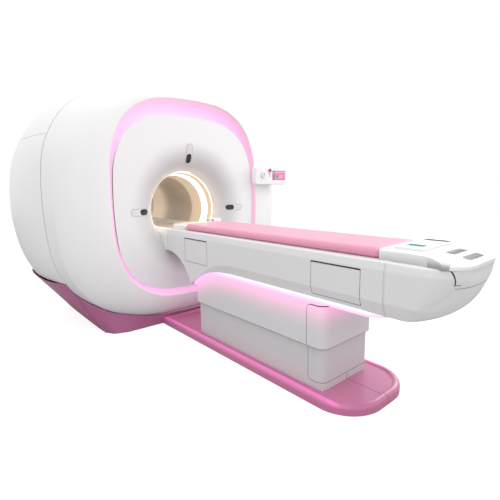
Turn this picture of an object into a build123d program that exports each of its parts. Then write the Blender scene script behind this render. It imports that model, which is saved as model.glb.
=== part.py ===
from build123d import *
from math import atan, copysign, cos, degrees, pi, radians, sin
import os

# Hospital MRI scanner with its patient table. Lengths are in millimetres.
# Depth y is measured from the plane of the gantry's face, positive into the bore,
# and z from the floor. put() moves every part so that the origin lies on the floor
# under the middle of the whole machine.

# Whole machine: the bore is a standard size, and the camera fit gave the two reaches
BORE_DIA = 600.0
BORE_R = BORE_DIA / 2
GANTRY_REACH = 1645.0
TABLE_REACH = 2370.0
FACE_Y = (TABLE_REACH - GANTRY_REACH) / 2

# Fits and walls
SEAT = 0.3
COVER_WALL = 8.0
TRIM_WALL = 6.0
SEAM = 4.0

# Rings and trumpet: the mouth of the bore, from the wall outwards
TRUMPET_END_R = BORE_R + 31.0
TRUMPET_START_R = TRUMPET_END_R + 269.0
WIDE_RING_IN_R = BORE_R + 10.0
WIDE_RING_OUT_R = BORE_R + 17.0
RING_TAPER = 2.0

# Margins of the front beside, above and below the trumpet: panel, lit band, pillow
PANEL_SIDE, PANEL_ABOVE, PANEL_BELOW = 100.0, 188.0, 88.0
HALO_SIDE, HALO_ABOVE, HALO_BELOW = 43.0, 144.0, 68.0
PILLOW_SIDE, PILLOW_ABOVE, PILLOW_BELOW = 360.0, 126.0, 186.0
FLOOR_GAP = 60.0
BORE_Z = TRUMPET_START_R + PANEL_BELOW + HALO_BELOW + PILLOW_BELOW + FLOOR_GAP

# Face panel
PANEL_HALF = TRUMPET_START_R + PANEL_SIDE
PANEL_LOW = BORE_Z - TRUMPET_START_R - PANEL_BELOW
PANEL_HIGH = BORE_Z + TRUMPET_START_R + PANEL_ABOVE
PANEL_Y = -24.0
PANEL_WALL = 10.0
PANEL_POWER = 3.0

# Front cover: a soft pillow from the lip to the crease, then a straight band to the seam
LIP_Y = PANEL_Y - 21.0
LIP_HALF = PANEL_HALF + HALO_SIDE
LIP_LOW = PANEL_LOW - HALO_BELOW
LIP_HIGH = PANEL_HIGH + HALO_ABOVE
LIP_POWER = 2.95
CREASE_HALF = LIP_HALF + PILLOW_SIDE
CREASE_LOW = LIP_LOW - PILLOW_BELOW
CREASE_HIGH = LIP_HIGH + PILLOW_ABOVE
PILLOW_TURN = 72.0
PILLOW_ROUND = 210.0
FRONT_SEAM_Y = LIP_Y + 320.0
FRONT_SEAM_HALF = CREASE_HALF + 27.0
FRONT_SEAM_LOW = CREASE_LOW - 20.0
FRONT_SEAM_HIGH = CREASE_HIGH + 13.0
FRONT_POWER = 2.76

# Outer shell behind the front cover: swells to its widest section and falls to the rear
SHELL_START_Y = FRONT_SEAM_Y + 14.0
SHELL_START_HALF = FRONT_SEAM_HALF + 2.0
SHELL_START_LOW = FRONT_SEAM_LOW
SHELL_START_HIGH = FRONT_SEAM_HIGH + 2.0
WIDE_Y = SHELL_START_Y + 561.0
WIDE_HALF = CREASE_HALF + 137.0
WIDE_LOW = CREASE_LOW - 140.0
WIDE_HIGH = CREASE_HIGH + 105.0
WIDE_POWER = 2.3
REAR_EDGE_ROUND = 85.0
REAR_EDGE_Y = GANTRY_REACH - REAR_EDGE_ROUND
REAR_HALF = WIDE_HALF - 200.0
REAR_LOW = WIDE_LOW + 140.0
REAR_HIGH = WIDE_HIGH - 165.0
REAR_POWER = 2.5
REAR_SEAM_Y = GANTRY_REACH - 315.0
TOP_SEAM_Z = WIDE_HIGH - 551.0
SKIRT_TOP_Z = BORE_Z - 557.0

# Depths of the rings in the bore's mouth, and the bore behind them
TRUMPET_END_Y = 139.0
RING_END_Y = TRUMPET_END_Y + 8.0
FUNNEL_END_Y = RING_END_Y + 59.0
WIDE_RING_END_Y = FUNNEL_END_Y + 86.0
LINER_STRAIGHT_Y = WIDE_RING_END_Y + 173.0
LINER_END_Y = REAR_SEAM_Y
REAR_FLARE = 170.0

# Laser windows: radial pills from the bore's centre
LASER_ANGLES = (0, 90, 180)
BEZEL_IN_R = TRUMPET_END_R + 64.0
BEZEL_OUT_R = BEZEL_IN_R + 175.0
BEZEL_WIDTH = 58.0
BEZEL_PROUD = 1.5
WINDOW_IN_R = BEZEL_IN_R + 10.0
WINDOW_OUT_R = WINDOW_IN_R + 80.0
WINDOW_WIDTH = BEZEL_WIDTH - 10.0
WINDOW_PROUD = 0.8
PILL_DEPTH = 4.0

# Magnet: coils and tubes round the bore, then the two vessels
BODY_COIL_WALL = 23.5
GRADIENT_WALL = 119.0
COIL_GAP = 0.5
BODY_COIL_R = BORE_R + TRIM_WALL + COIL_GAP
GRADIENT_R = BODY_COIL_R + BODY_COIL_WALL + COIL_GAP
MAGNET_BORE_R = GRADIENT_R + GRADIENT_WALL + COIL_GAP
COLD_HEAD_ROOM = 263.0
VESSEL_R = WIDE_HIGH - BORE_Z - COLD_HEAD_ROOM
VESSEL_FRONT_Y = SHELL_START_Y + 31.0
VESSEL_REAR_Y = GANTRY_REACH - 305.0
VESSEL_WALL = 10.0
HELIUM_WALL = 6.0
HELIUM_BORE_R = MAGNET_BORE_R + 45.0
HELIUM_R = VESSEL_R - 55.0
HELIUM_END_GAP = 70.0
MAIN_COIL_DEPTH = 60.0
NECK_Y = (VESSEL_FRONT_Y + VESSEL_REAR_Y) / 2 + 100.0

# Base skirts and floor tray
SKIRT_WALL = 10.0
SKIRT_HALF = WIDE_HALF - 115.0
SKIRT_FRONT_Y = 50.0
SKIRT_REAR_Y = GANTRY_REACH - 95.0
SKIRT_POWER = 3.2
FLOOR_HALF = SKIRT_HALF - 340.0
FLOOR_FRONT_Y = SKIRT_FRONT_Y - 3.0
FLOOR_REAR_Y = GANTRY_REACH - 302.0
FLOOR_POWER = 9.0
SKIRT_SEAM_LOW_Y = FLOOR_FRONT_Y + 141.0
SKIRT_SEAM_HIGH_Y = FLOOR_FRONT_Y + 235.0

# Table: widths from the cradle outwards, heights from the bore, depths from head and foot
CRADLE_HALF = 213.0
CHANNEL_HALF = CRADLE_HALF + 3.5
TABLE_HALF = CRADLE_HALF + 51.7
UNDER_HALF = TABLE_HALF - 24.7
BAND_HALF = TABLE_HALF - 8.7
LIGHT_HALF = UNDER_HALF + 3.0
LIGHT_IN_HALF = LIGHT_HALF - 11.5
SLEEVE_HALF = LIGHT_HALF + 4.0
PEDESTAL_HALF = SLEEVE_HALF - 17.0
TRAY_HALF = PEDESTAL_HALF + 78.0
TABLE_TOP = BORE_Z - BORE_R / 2
TABLE_BAND = TABLE_TOP - 40.0
TABLE_BEND = TABLE_TOP - 192.0
TABLE_UNDER = TABLE_TOP - 260.0
CHANNEL_Z = TABLE_TOP - 42.0
MATTRESS_TOP = TABLE_TOP + 52.0
TABLE_HEAD_Y = PANEL_Y - 9.0
FAIRING_END_Y = 330.0 - TABLE_REACH
NOSE_MID_Y = FAIRING_END_Y - 80.0
NOSE_DROP = 290.0
NOSE_POWER = 3.8
TABLE_WALL = 12.0
NOSE_WALL = 10.0
LEDGE_ROUND = 8.0
APRON_HALF = CHANNEL_HALF - 0.8
APRON_LOW = TABLE_TOP - 77.0
APRON_CUT = 22.0
LIGHT_HEIGHT = 26.0

# Claw at the table's head: y behind the head and z above the underside, along both curves
ARCH_POINTS = ((0, 77), (-82, 70), (-193, 25), (-253, -20), (-309, -90), (-347, -156))
CLAW_POINTS = ((-365, -138), (-426, -98), (-485, -64), (-555, -36), (-686, -8), (-867, 0))
CHAMFER_FADE = ((-867, 0), (-687, -22), (-567, -74), (-497, -124))

# Hatches in the table's flanks, each on a rolled hinge edge
HATCH_LOW = TABLE_TOP - 234.0
HATCH_HIGH = TABLE_TOP - 50.0
HATCH_WALL = 5.0
HATCH_GAP = 0.8
HATCH_GRIP = 7.0
HATCH_PLACES = {
    "head": (TABLE_HEAD_Y - 586.0, TABLE_HEAD_Y - 280.0),
    "foot": (FAIRING_END_Y + 120.0, FAIRING_END_Y + 424.0),
}

# Floor tray
TRAY_TOP = 58.0
TRAY_FLOOR = 47.0
TRAY_RIM = 45.0
TRAY_CORNER = 235.0
TRAY_ROUND = 24.0

# Pedestal and lift
PEDESTAL_HEAD_Y = TABLE_HEAD_Y - 411.0
PEDESTAL_FOOT_Y = 686.0 - TABLE_REACH
PEDESTAL_LENGTH = PEDESTAL_HEAD_Y - PEDESTAL_FOOT_Y
TRAY_END_Y = PEDESTAL_FOOT_Y - 271.0
PEDESTAL_WALL = 10.0
PEDESTAL_TOP = 325.0
SLEEVE_GROWTH = 10.0
SLEEVE_WALL = 8.0
SLEEVE_LOW = PEDESTAL_TOP - 25.0
FOOT_CORNER = 55.0
HEAD_CORNER = 15.0
END_COVER_Y = PEDESTAL_FOOT_Y + 109.0
END_COVER_ROUND = 28.0
KICK_HEIGHT = 43.0
GROOVE = 1.5
GROOVE_DEPTH = 3.0
LIFT_TRAVEL = 230.0
BASE_PLATE = 20.0
TOP_PLATE = 12.0
TOP_PLATE_Z = TABLE_UNDER - 32.0
COLUMN_HALF = 80.0
COLUMN_WALL = 6.0
COLUMN_PLACES = (PEDESTAL_HEAD_Y - 0.287 * PEDESTAL_LENGTH, PEDESTAL_FOOT_Y + 0.285 * PEDESTAL_LENGTH)

# Cradle, mattress and caps
CRADLE_END_Y = 55.0 - TABLE_REACH
MATTRESS_HEAD_Y = TABLE_HEAD_Y - 193.0
MATTRESS_FOOT_Y = FAIRING_END_Y + 57.0
CAP_HEAD_Y = TABLE_HEAD_Y + 25.0
CAP_FOOT_Y = MATTRESS_FOOT_Y - 2.0
CAP_RISE = MATTRESS_TOP + 1.0 - TABLE_TOP
CAP_EDGE = 16.0
CAP_BLEND_Y = NOSE_MID_Y - 30.0
DECK_HALF = 170.0
DECK_FOOT_Y = CAP_FOOT_Y - 185.0
DECK_HEAD_Y = CAP_FOOT_Y - 45.0
DECK_RISE = 12.0
DECK_CORNER = 22.0
SOCKETS = ((-82.0, 20.0, 32.0), (138.0, 16.0, 12.0))
PORT_PLACES = (54.0, 126.0)

# Drive of the cradle
PULLEY_R = 28.0
PULLEY_WIDTH = 24.0
PULLEY_TEETH = 24
SPINDLE_R = 7.0
DRIVE_Y = TABLE_HEAD_Y - 197.0
IDLER_Y = NOSE_MID_Y - 30.0
BELT_Z = TABLE_TOP - 110.0
BELT_WALL = 3.0
RAIL_HALVES = (130.0, 180.0)
FRAME_LOW = TABLE_UNDER + 48.0

# Display pod on the front cover
POD_LEFT = LIP_HALF - 52.0
POD_RIGHT = POD_LEFT + 439.0
POD_LOW = BORE_Z + 213.0
POD_HIGH = POD_LOW + 178.0
POD_FRONT_Y = LIP_Y - 60.0
POD_DEPTH = 55.0
POD_STEM_R = 8.1
KNOB_X = POD_LEFT + 99.0
KNOB_Z = POD_LOW + 94.0
KNOB_R = 28.0
STOP_X = POD_LEFT + 184.0
STOP_Z = POD_LOW + 140.0
SCREEN = (POD_LEFT + 225.0, POD_RIGHT - 30.0, POD_LOW + 45.0, POD_HIGH - 40.0)


def put(shape, node):
    export_step(Pos(0, FACE_Y, 0) * shape, f"parts/{node}.step")


def group(solids):
    return Compound(children=list(solids))


def block(x0, x1, y0, y1, z0, z1):
    middle = Pos((x0 + x1) / 2, (y0 + y1) / 2, (z0 + z1) / 2)
    return middle * Box(abs(x1 - x0), abs(y1 - y0), abs(z1 - z0))


def half_space(side):
    """Everything on one side of the middle plane, side being -1 for x < 0 and 1 for x > 0."""
    return block(0, side * 3000, -4000, 4000, -100, 3000)


def oval(half_w, half_h, power, grow, count=28):
    """Points of |u/a|^n + |v/b|^n = 1, each moved out by `grow` along the curve's normal."""
    points = []
    for i in range(count):
        angle = 2 * pi * i / count
        u = half_w * copysign(abs(cos(angle)) ** (2 / power), cos(angle))
        v = half_h * copysign(abs(sin(angle)) ** (2 / power), sin(angle))
        slope_u = copysign(abs(u / half_w) ** (power - 1) / half_w, u)
        slope_v = copysign(abs(v / half_h) ** (power - 1) / half_h, v)
        length = (slope_u ** 2 + slope_v ** 2) ** 0.5
        points.append((u + grow * slope_u / length, v + grow * slope_v / length))
    return points


def smooth_face(points):
    """Face inside a closed smooth curve; evenly numbered points keep lofts light."""
    numbers = [i / len(points) for i in range(len(points) + 1)]
    return make_face(Edge.make_spline([Vector(*point) for point in points], periodic=True, parameters=numbers))


def upright_section(y, half_w, low, high, power, grow=0.0):
    """Closed section of a cover in an upright plane across the machine."""
    plane = Plane(origin=(0, y, (low + high) / 2), x_dir=(1, 0, 0), z_dir=(0, -1, 0))
    return plane * smooth_face(oval(half_w, (high - low) / 2, power, grow))


def level_section(z, half_w, mid_y, reach, power, grow=0.0):
    """Closed section of a cover in a level plane."""
    return Plane(origin=(0, mid_y, z)) * smooth_face(oval(half_w, reach, power, grow))


def turned(face):
    """Solid of revolution about the bore's axis; the face has radius as x and depth as y."""
    return revolve(Pos(0, 0, BORE_Z) * face, Axis((0, 0, BORE_Z), (0, 1, 0)), 360)


def bore_ring(r0, r1, y0, y1):
    """Ring about the bore's axis."""
    return turned(make_face(Polyline((r0, y0), (r1, y0), (r1, y1), (r0, y1), close=True)))


def bore_plug(r, y0, y1):
    """Cylinder on the bore's axis."""
    return extrude(Plane(origin=(0, y0, BORE_Z), z_dir=(0, 1, 0)) * Circle(r), y1 - y0)


def bore_cone(start_r, end_r, y0, y1, wall):
    """Tapering tube about the bore's axis, given by its inner radii."""
    corners = ((start_r, y0), (start_r + wall, y0), (end_r + wall, y1), (end_r, y1))
    return turned(make_face(Polyline(*corners, close=True)))


# Gantry covers


def pillow_section(turn, grow):
    """Section of the front cover where its rounding has turned by `turn` degrees."""
    part = sin(radians(turn)) / sin(radians(PILLOW_TURN))
    half_w = LIP_HALF + (CREASE_HALF - LIP_HALF) * part
    low = LIP_LOW + (CREASE_LOW - LIP_LOW) * part
    high = LIP_HIGH + (CREASE_HIGH - LIP_HIGH) * part
    power = LIP_POWER + (FRONT_POWER - LIP_POWER) * part
    y = LIP_Y + PILLOW_ROUND * (1 - cos(radians(turn))) - grow * cos(radians(turn))
    return upright_section(y, half_w, low, high, power, grow * sin(radians(turn)))


def front_body(grow):
    """Filled form of the front cover, moved out by `grow`; the band runs to the seam."""
    past = 0.0 if grow >= 0 else 2.0
    turns = (0, 14, 28, 42, 57, PILLOW_TURN)
    pillow = loft([pillow_section(turn, grow) for turn in turns])
    seam = (FRONT_SEAM_Y + past, FRONT_SEAM_HALF, FRONT_SEAM_LOW, FRONT_SEAM_HIGH)
    band = loft([pillow_section(PILLOW_TURN, grow), upright_section(*seam, FRONT_POWER, grow)])
    return pillow + band


def lip_opening(y0, y1, inset):
    face = upright_section(y0, LIP_HALF, LIP_LOW, LIP_HIGH, LIP_POWER, -inset)
    return extrude(face, y1 - y0, dir=(0, 1, 0))


def front_cover():
    opening = lip_opening(LIP_Y - 1, LIP_Y + 20, COVER_WALL)
    return front_body(0) - front_body(-COVER_WALL) - opening


def halo_diffuser():
    """Lit band round the face: slopes in from the cover's lip to behind the panel's edge."""
    front = (LIP_Y + COVER_WALL, LIP_HALF - COVER_WALL, LIP_LOW + COVER_WALL, LIP_HIGH - COVER_WALL)
    back = (PANEL_Y + 54, PANEL_HALF - PANEL_WALL, PANEL_LOW + PANEL_WALL, PANEL_HIGH - PANEL_WALL)
    outer = loft([upright_section(*size, LIP_POWER, TRIM_WALL) for size in (front, back)])
    inner = loft([upright_section(*size, LIP_POWER, 0) for size in (front, back)])
    return outer - inner


def swell(y):
    """Half-width, low, high and power of the outer shell: parabolas either side of WIDE_Y."""
    if y < WIDE_Y:
        part = ((WIDE_Y - y) / (WIDE_Y - SHELL_START_Y)) ** 2
        ends = (SHELL_START_HALF, SHELL_START_LOW, SHELL_START_HIGH, FRONT_POWER)
    else:
        part = ((y - WIDE_Y) / (REAR_EDGE_Y - WIDE_Y)) ** 2
        ends = (REAR_HALF, REAR_LOW, REAR_HIGH, REAR_POWER)
    widest = (WIDE_HALF, WIDE_LOW, WIDE_HIGH, WIDE_POWER)
    return [wide + (end - wide) * part for wide, end in zip(widest, ends)]


def shell_body(grow):
    """Filled form of the covers behind the front seam, moved out by `grow`."""
    start = SHELL_START_Y - (0.0 if grow >= 0 else 2.0)
    depths = [start]
    depths += [SHELL_START_Y + (WIDE_Y - SHELL_START_Y) * part for part in (0.2, 0.46, 0.73)]
    depths += [WIDE_Y + (REAR_EDGE_Y - WIDE_Y) * part for part in (0, 0.21, 0.45, 0.68, 0.85, 1)]
    hull = loft([upright_section(y, *swell(y), grow) for y in depths])
    edge = []
    for turn in (0, 22, 45, 68, 84):
        y = REAR_EDGE_Y + (REAR_EDGE_ROUND + grow) * sin(radians(turn))
        inset = (REAR_EDGE_ROUND + grow) * (1 - cos(radians(turn)))
        edge.append(upright_section(y, *swell(REAR_EDGE_Y), grow - inset))
    return hull + loft(edge)


def shell_covers():
    """Side, top and rear covers, butted together with a groove along every seam."""
    wall = shell_body(0) - shell_body(-COVER_WALL)
    wall &= block(-3000, 3000, 0, 3000, SKIRT_TOP_Z, 3000)
    wall += return_flange()
    core = shell_body(-SEAM)
    wall -= block(-3000, 3000, 0, REAR_SEAM_Y, TOP_SEAM_Z - SEAM / 2, TOP_SEAM_Z + SEAM / 2) - core
    wall -= block(-3000, 3000, REAR_SEAM_Y - SEAM / 2, REAR_SEAM_Y + SEAM / 2, 0, 3000) - core
    side = wall & block(-3000, 0, 0, REAR_SEAM_Y, SKIRT_TOP_Z, TOP_SEAM_Z)
    top = wall & block(-3000, 3000, 0, REAR_SEAM_Y, TOP_SEAM_Z, 3000)
    rear = wall & block(-3000, 3000, REAR_SEAM_Y, 3000, SKIRT_TOP_Z, 3000)
    rear -= bore_plug(BORE_R + REAR_FLARE + 0.5, REAR_SEAM_Y, GANTRY_REACH + 5)
    return side, mirror(side, Plane.YZ), top, rear


def return_flange():
    """Flange along the lower edge of the covers that closes the gap over the base."""
    slab = block(-3000, 3000, SHELL_START_Y, 3000, SKIRT_TOP_Z, SKIRT_TOP_Z + TRIM_WALL)
    slab &= shell_body(-COVER_WALL / 2)
    return slab - extrude(skirt_top(40, SKIRT_TOP_Z - 10), 40)


def seam_trim():
    """Dark ring between the front cover and the shell, hung on the magnet by three brackets."""
    size = (FRONT_SEAM_HALF, FRONT_SEAM_LOW, FRONT_SEAM_HIGH, FRONT_POWER)
    width = SHELL_START_Y - FRONT_SEAM_Y
    outer = extrude(upright_section(FRONT_SEAM_Y, *size, -TRIM_WALL), width, dir=(0, 1, 0))
    inner = extrude(upright_section(FRONT_SEAM_Y - 1, *size, -20), width + 2, dir=(0, 1, 0))
    ring = outer - inner
    tail = VESSEL_FRONT_Y + 60
    near, far = VESSEL_R - 6, VESSEL_R + 34
    for side in (-1, 1):
        ring += block(side * near, side * far, FRONT_SEAM_Y, tail, BORE_Z - 30, BORE_Z + 30)
        reach = side * (FRONT_SEAM_HALF - 14)
        ring += block(side * near, reach, FRONT_SEAM_Y, SHELL_START_Y, BORE_Z - 30, BORE_Z + 30)
    ring += block(-30, 30, FRONT_SEAM_Y, SHELL_START_Y, BORE_Z + near, FRONT_SEAM_HIGH - 14)
    ring += block(-30, 30, FRONT_SEAM_Y, tail, BORE_Z + near, BORE_Z + far)
    return ring - bore_plug(VESSEL_R, VESSEL_FRONT_Y, tail + 5)


# Face and bore


def trumpet_curve(depth):
    """Points of the trumpet's quarter ellipse, `depth` behind its surface: radius, y."""
    points = []
    for i in range(9):
        angle = radians(11.25 * i)
        r = TRUMPET_START_R - (TRUMPET_START_R - TRUMPET_END_R - depth) * sin(angle)
        y = TRUMPET_END_Y - (TRUMPET_END_Y - PANEL_Y - depth) * cos(angle)
        points.append((r, y))
    return points


def trumpet_layer(depth, wall):
    """Solid of revolution between two depths behind the trumpet's surface."""
    front = trumpet_curve(depth)
    back = trumpet_curve(depth + wall)
    edges = Spline(front) + Line(front[-1], back[-1]) + Spline(back) + Line(back[0], front[0])
    return turned(make_face(edges))


def trumpet_inside(clearance):
    """Everything in front of the trumpet's surface, less `clearance`, down to the bore's axis."""
    front = trumpet_curve(-clearance)
    far = (0, front[-1][1])
    near = (0, front[0][1])
    edges = Spline(front) + Line(front[-1], far) + Line(far, near) + Line(near, front[0])
    return turned(make_face(edges))


def pill(angle, inner_r, outer_r, width):
    """Long pill that points away from the bore's axis, as a prism along y."""
    length = outer_r - inner_r
    face = Pos((inner_r + outer_r) / 2, 0) * SlotOverall(length, width)
    plane = Plane(origin=(0, TRUMPET_END_Y, BORE_Z), x_dir=(1, 0, 0), z_dir=(0, -1, 0))
    return extrude(plane * (Rot(0, 0, angle) * face), TRUMPET_END_Y - PANEL_Y + 30, dir=(0, -1, 0))


def face_panel():
    """Panel and trumpet in one moulding, with pockets for the laser bezels and four posts."""
    outline = upright_section(PANEL_Y, PANEL_HALF, PANEL_LOW, PANEL_HIGH, PANEL_POWER)
    panel = extrude(outline, PANEL_WALL, dir=(0, 1, 0))
    panel -= bore_plug(TRUMPET_START_R, PANEL_Y - 5, PANEL_Y + PANEL_WALL + 5)
    panel += trumpet_layer(0, PANEL_WALL)
    back = PANEL_Y + PANEL_WALL
    for angle in (45, 135, 225, 315):
        x = (TRUMPET_START_R + 32) * cos(radians(angle))
        z = BORE_Z + (TRUMPET_START_R + 32) * sin(radians(angle))
        panel += extrude(Plane(origin=(x, back, z), z_dir=(0, 1, 0)) * Circle(11), VESSEL_FRONT_Y - back)
    seat = trumpet_layer(-20, 20 + PILL_DEPTH)
    for angle in LASER_ANGLES:
        panel -= pill(angle, BEZEL_IN_R - SEAT, BEZEL_OUT_R + SEAT, BEZEL_WIDTH + 2 * SEAT) & seat
    return panel


def laser_bezels():
    """White frames that follow the trumpet and stand just proud of it."""
    layer = trumpet_layer(-BEZEL_PROUD, BEZEL_PROUD + PILL_DEPTH - 0.05)
    bezels = []
    for angle in LASER_ANGLES:
        frame = pill(angle, BEZEL_IN_R, BEZEL_OUT_R, BEZEL_WIDTH)
        window = pill(angle, WINDOW_IN_R - SEAT, WINDOW_OUT_R + SEAT, WINDOW_WIDTH + 2 * SEAT)
        bezels.append((frame - window) & layer)
    return bezels


def laser_windows():
    """Dark glass in the inner half of each bezel."""
    layer = trumpet_layer(-WINDOW_PROUD, WINDOW_PROUD + PILL_DEPTH - 0.05)
    return [pill(angle, WINDOW_IN_R, WINDOW_OUT_R, WINDOW_WIDTH) & layer for angle in LASER_ANGLES]


def bore_liner():
    """Bore tube that narrows behind the wide ring and then runs straight to the rear."""
    corners = ((WIDE_RING_IN_R, WIDE_RING_END_Y), (BORE_R, LINER_STRAIGHT_Y), (BORE_R, LINER_END_Y))
    outer = tuple((r + TRIM_WALL, y) for r, y in reversed(corners))
    return turned(make_face(Polyline(*corners, *outer, close=True)))


def rear_funnel():
    """Bell at the rear of the bore, a quarter ellipse that meets the rear cover flat."""
    curves = []
    for wall in (0.0, COVER_WALL):
        points = []
        for i in range(9):
            angle = radians(11.25 * i)
            r = BORE_R + REAR_FLARE - (REAR_FLARE - wall) * cos(angle)
            points.append((r, LINER_END_Y + (GANTRY_REACH - LINER_END_Y - wall) * sin(angle)))
        curves.append(points)
    front, back = curves
    edges = Spline(front) + Line(front[-1], back[-1]) + Spline(back) + Line(back[0], front[0])
    return turned(make_face(edges))


# Magnet


def vacuum_vessel():
    """Outer vessel: a welded ring-shaped can with rounded rims and a neck hole on top."""
    wall = VESSEL_WALL
    outer = bore_ring(MAGNET_BORE_R, VESSEL_R, VESSEL_FRONT_Y, VESSEL_REAR_Y)
    outer = fillet(outer.edges().filter_by(GeomType.CIRCLE).group_by(SortBy.RADIUS)[-1], 4 * wall)
    hollow = bore_ring(MAGNET_BORE_R + wall, VESSEL_R - wall, VESSEL_FRONT_Y + wall, VESSEL_REAR_Y - wall)
    hollow = fillet(hollow.edges().filter_by(GeomType.CIRCLE).group_by(SortBy.RADIUS)[-1], 3 * wall)
    return outer - hollow - Pos(0, NECK_Y, BORE_Z + VESSEL_R) * Cylinder(80, 100)


def helium_vessel():
    """Inner vessel, held off the outer one by blocks at four places."""
    wall = HELIUM_WALL
    y0 = VESSEL_FRONT_Y + HELIUM_END_GAP
    y1 = VESSEL_REAR_Y - HELIUM_END_GAP
    ring = bore_ring(HELIUM_BORE_R, HELIUM_R, y0, y1)
    ring -= bore_ring(HELIUM_BORE_R + wall, HELIUM_R - wall, y0 + wall, y1 - wall)
    reach = VESSEL_R - VESSEL_WALL - SEAT
    shell = bore_ring(HELIUM_R - 2, reach, y0 + 200, y1 - 200)
    for angle in (45, 135, 225, 315):
        strut = Pos(0, 0, BORE_Z) * Rot(0, angle, 0) * block(0, VESSEL_R, y0 + 200, y1 - 200, -40, 40)
        ring += strut & shell
    return ring - Pos(0, NECK_Y, BORE_Z + HELIUM_R) * Cylinder(50, 100)


def main_coils():
    """Six superconducting coils in mirrored pairs, wound on the helium vessel's bore."""
    bore = HELIUM_BORE_R + HELIUM_WALL + SEAT
    half = (VESSEL_REAR_Y - VESSEL_FRONT_Y) / 2 - HELIUM_END_GAP - 20
    middle = (VESSEL_REAR_Y + VESSEL_FRONT_Y) / 2
    coils = []
    for place, width in ((0.82, 0.3), (0.42, 0.18), (0.14, 0.12)):
        for side in (-1, 1):
            mid = middle + side * place * half
            reach = width * half / 2
            coils.append(bore_ring(bore, bore + MAIN_COIL_DEPTH, mid - reach, mid + reach))
    return coils


def gradient_coil():
    return bore_ring(GRADIENT_R, GRADIENT_R + GRADIENT_WALL, VESSEL_FRONT_Y + 50, VESSEL_REAR_Y - 40)


def body_coil():
    """Birdcage transmit coil: a tube whose middle is cut into rungs."""
    y0 = LINER_STRAIGHT_Y + 5
    y1 = LINER_END_Y - 70
    tube = bore_ring(BODY_COIL_R, BODY_COIL_R + BODY_COIL_WALL, y0, y1)
    for angle in range(0, 180, 45):
        gap = Pos(0, 0, BORE_Z) * Rot(0, angle + 22.5, 0)
        tube -= gap * block(-2 * BORE_R, 2 * BORE_R, y0 + 60, y1 - 60, -30, 30)
    return tube


def cold_head():
    """Service turret on the vessel with the cold head on top."""
    base_z = BORE_Z + VESSEL_R * 0.98
    top_z = BORE_Z + VESSEL_R + 0.6 * COLD_HEAD_ROOM
    turret = Pos(0, NECK_Y, (base_z + top_z) / 2) * Cylinder(110, top_z - base_z)
    turret += Pos(0, NECK_Y, top_z + 10) * Cylinder(128, 20)
    turret += Pos(0, NECK_Y, top_z + 45) * Cylinder(58, 70)
    return turret - bore_plug(VESSEL_R + 0.05, VESSEL_FRONT_Y, VESSEL_REAR_Y)


# Base skirts and floor tray


def skirt_top(inset, z):
    """Outline of the base where it meets the covers."""
    mid_y = (SKIRT_FRONT_Y + SKIRT_REAR_Y) / 2
    return level_section(z, SKIRT_HALF, mid_y, (SKIRT_REAR_Y - SKIRT_FRONT_Y) / 2, SKIRT_POWER, -inset)


def skirt_body(inset):
    """Filled form of the base between the floor and the covers."""
    mid_y = (FLOOR_FRONT_Y + FLOOR_REAR_Y) / 2
    reach = (FLOOR_REAR_Y - FLOOR_FRONT_Y) / 2
    floor = level_section(0, FLOOR_HALF, mid_y, reach, FLOOR_POWER, -inset)
    return loft([floor, skirt_top(inset, SKIRT_TOP_Z - SEAM)])


def skirt_seam():
    """Everything in front of the slanted seam between the front and side skirts."""
    knee = SKIRT_TOP_Z - 25
    corners = ((-300, -20), (SKIRT_SEAM_LOW_Y, -20), (SKIRT_SEAM_HIGH_Y, knee), (SKIRT_SEAM_HIGH_Y, knee + 80))
    return side_prism(make_face(Polyline(*corners, (-300, knee + 80), close=True)), 1.5 * SKIRT_HALF)


def base_skirts(covers):
    """Front skirt and two side skirts that meet along a slanted seam."""
    wall = skirt_body(0) - skirt_body(SKIRT_WALL) - covers
    wedge = skirt_seam()
    front = max((wall & wedge).solids(), key=lambda part: part.volume)
    left = (wall - wedge) & half_space(-1)
    return front, left, mirror(left, Plane.YZ)


def magnet_feet():
    """Two cross beams on the floor with saddles under the vessel."""
    inside = skirt_body(SKIRT_WALL + 4)
    feet = []
    saddle_cut = bore_plug(VESSEL_R, VESSEL_FRONT_Y - 200, VESSEL_REAR_Y + 200)
    for y in (VESSEL_FRONT_Y + 130, VESSEL_REAR_Y - 300):
        beam = inside & block(-2000, 2000, y, y + 190, -10, 45)
        for side in (-1, 1):
            beam += block(side * 0.31 * VESSEL_R, side * 0.62 * VESSEL_R, y, y + 190, 30, 330)
        feet.append(beam - saddle_cut)
    return feet


def tray_outline(inset):
    """Outline of the floor tray: square at the gantry, with two large corners at the far end."""
    half = TRAY_HALF - inset
    start = FLOOR_FRONT_Y - 0.2 - inset
    end = TRAY_END_Y + inset
    corner = TRAY_CORNER - inset
    straight = end + corner
    edges = Line((-half, start), (half, start)) + Line((half, start), (half, straight))
    edges += RadiusArc((half, straight), (half - corner, end), corner)
    edges += Line((half - corner, end), (-half + corner, end))
    edges += RadiusArc((-half + corner, end), (-half, straight), corner)
    edges += Line((-half, straight), (-half, start))
    return make_face(edges)


def floor_trays():
    """Tray in two halves: a soft rim round a shallow floor, open under the pedestal."""
    body = extrude(tray_outline(0), TRAY_TOP)
    body = fillet(body.edges().group_by(Axis.Z)[-1], TRAY_ROUND)
    body -= loft([Pos(0, 0, TRAY_FLOOR) * tray_outline(TRAY_RIM), Pos(0, 0, TRAY_TOP + 1) * tray_outline(TRAY_RIM - 13)])
    well = PEDESTAL_HALF - PEDESTAL_WALL
    body -= block(-well, well, PEDESTAL_FOOT_Y + 10, PEDESTAL_HEAD_Y - 10, -10, 100)
    body -= block(-1, 1, TRAY_END_Y - 50, FLOOR_FRONT_Y + 50, TRAY_FLOOR - 3, 100)
    return body & half_space(-1), body & half_space(1)


# Pedestal and lift


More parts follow.
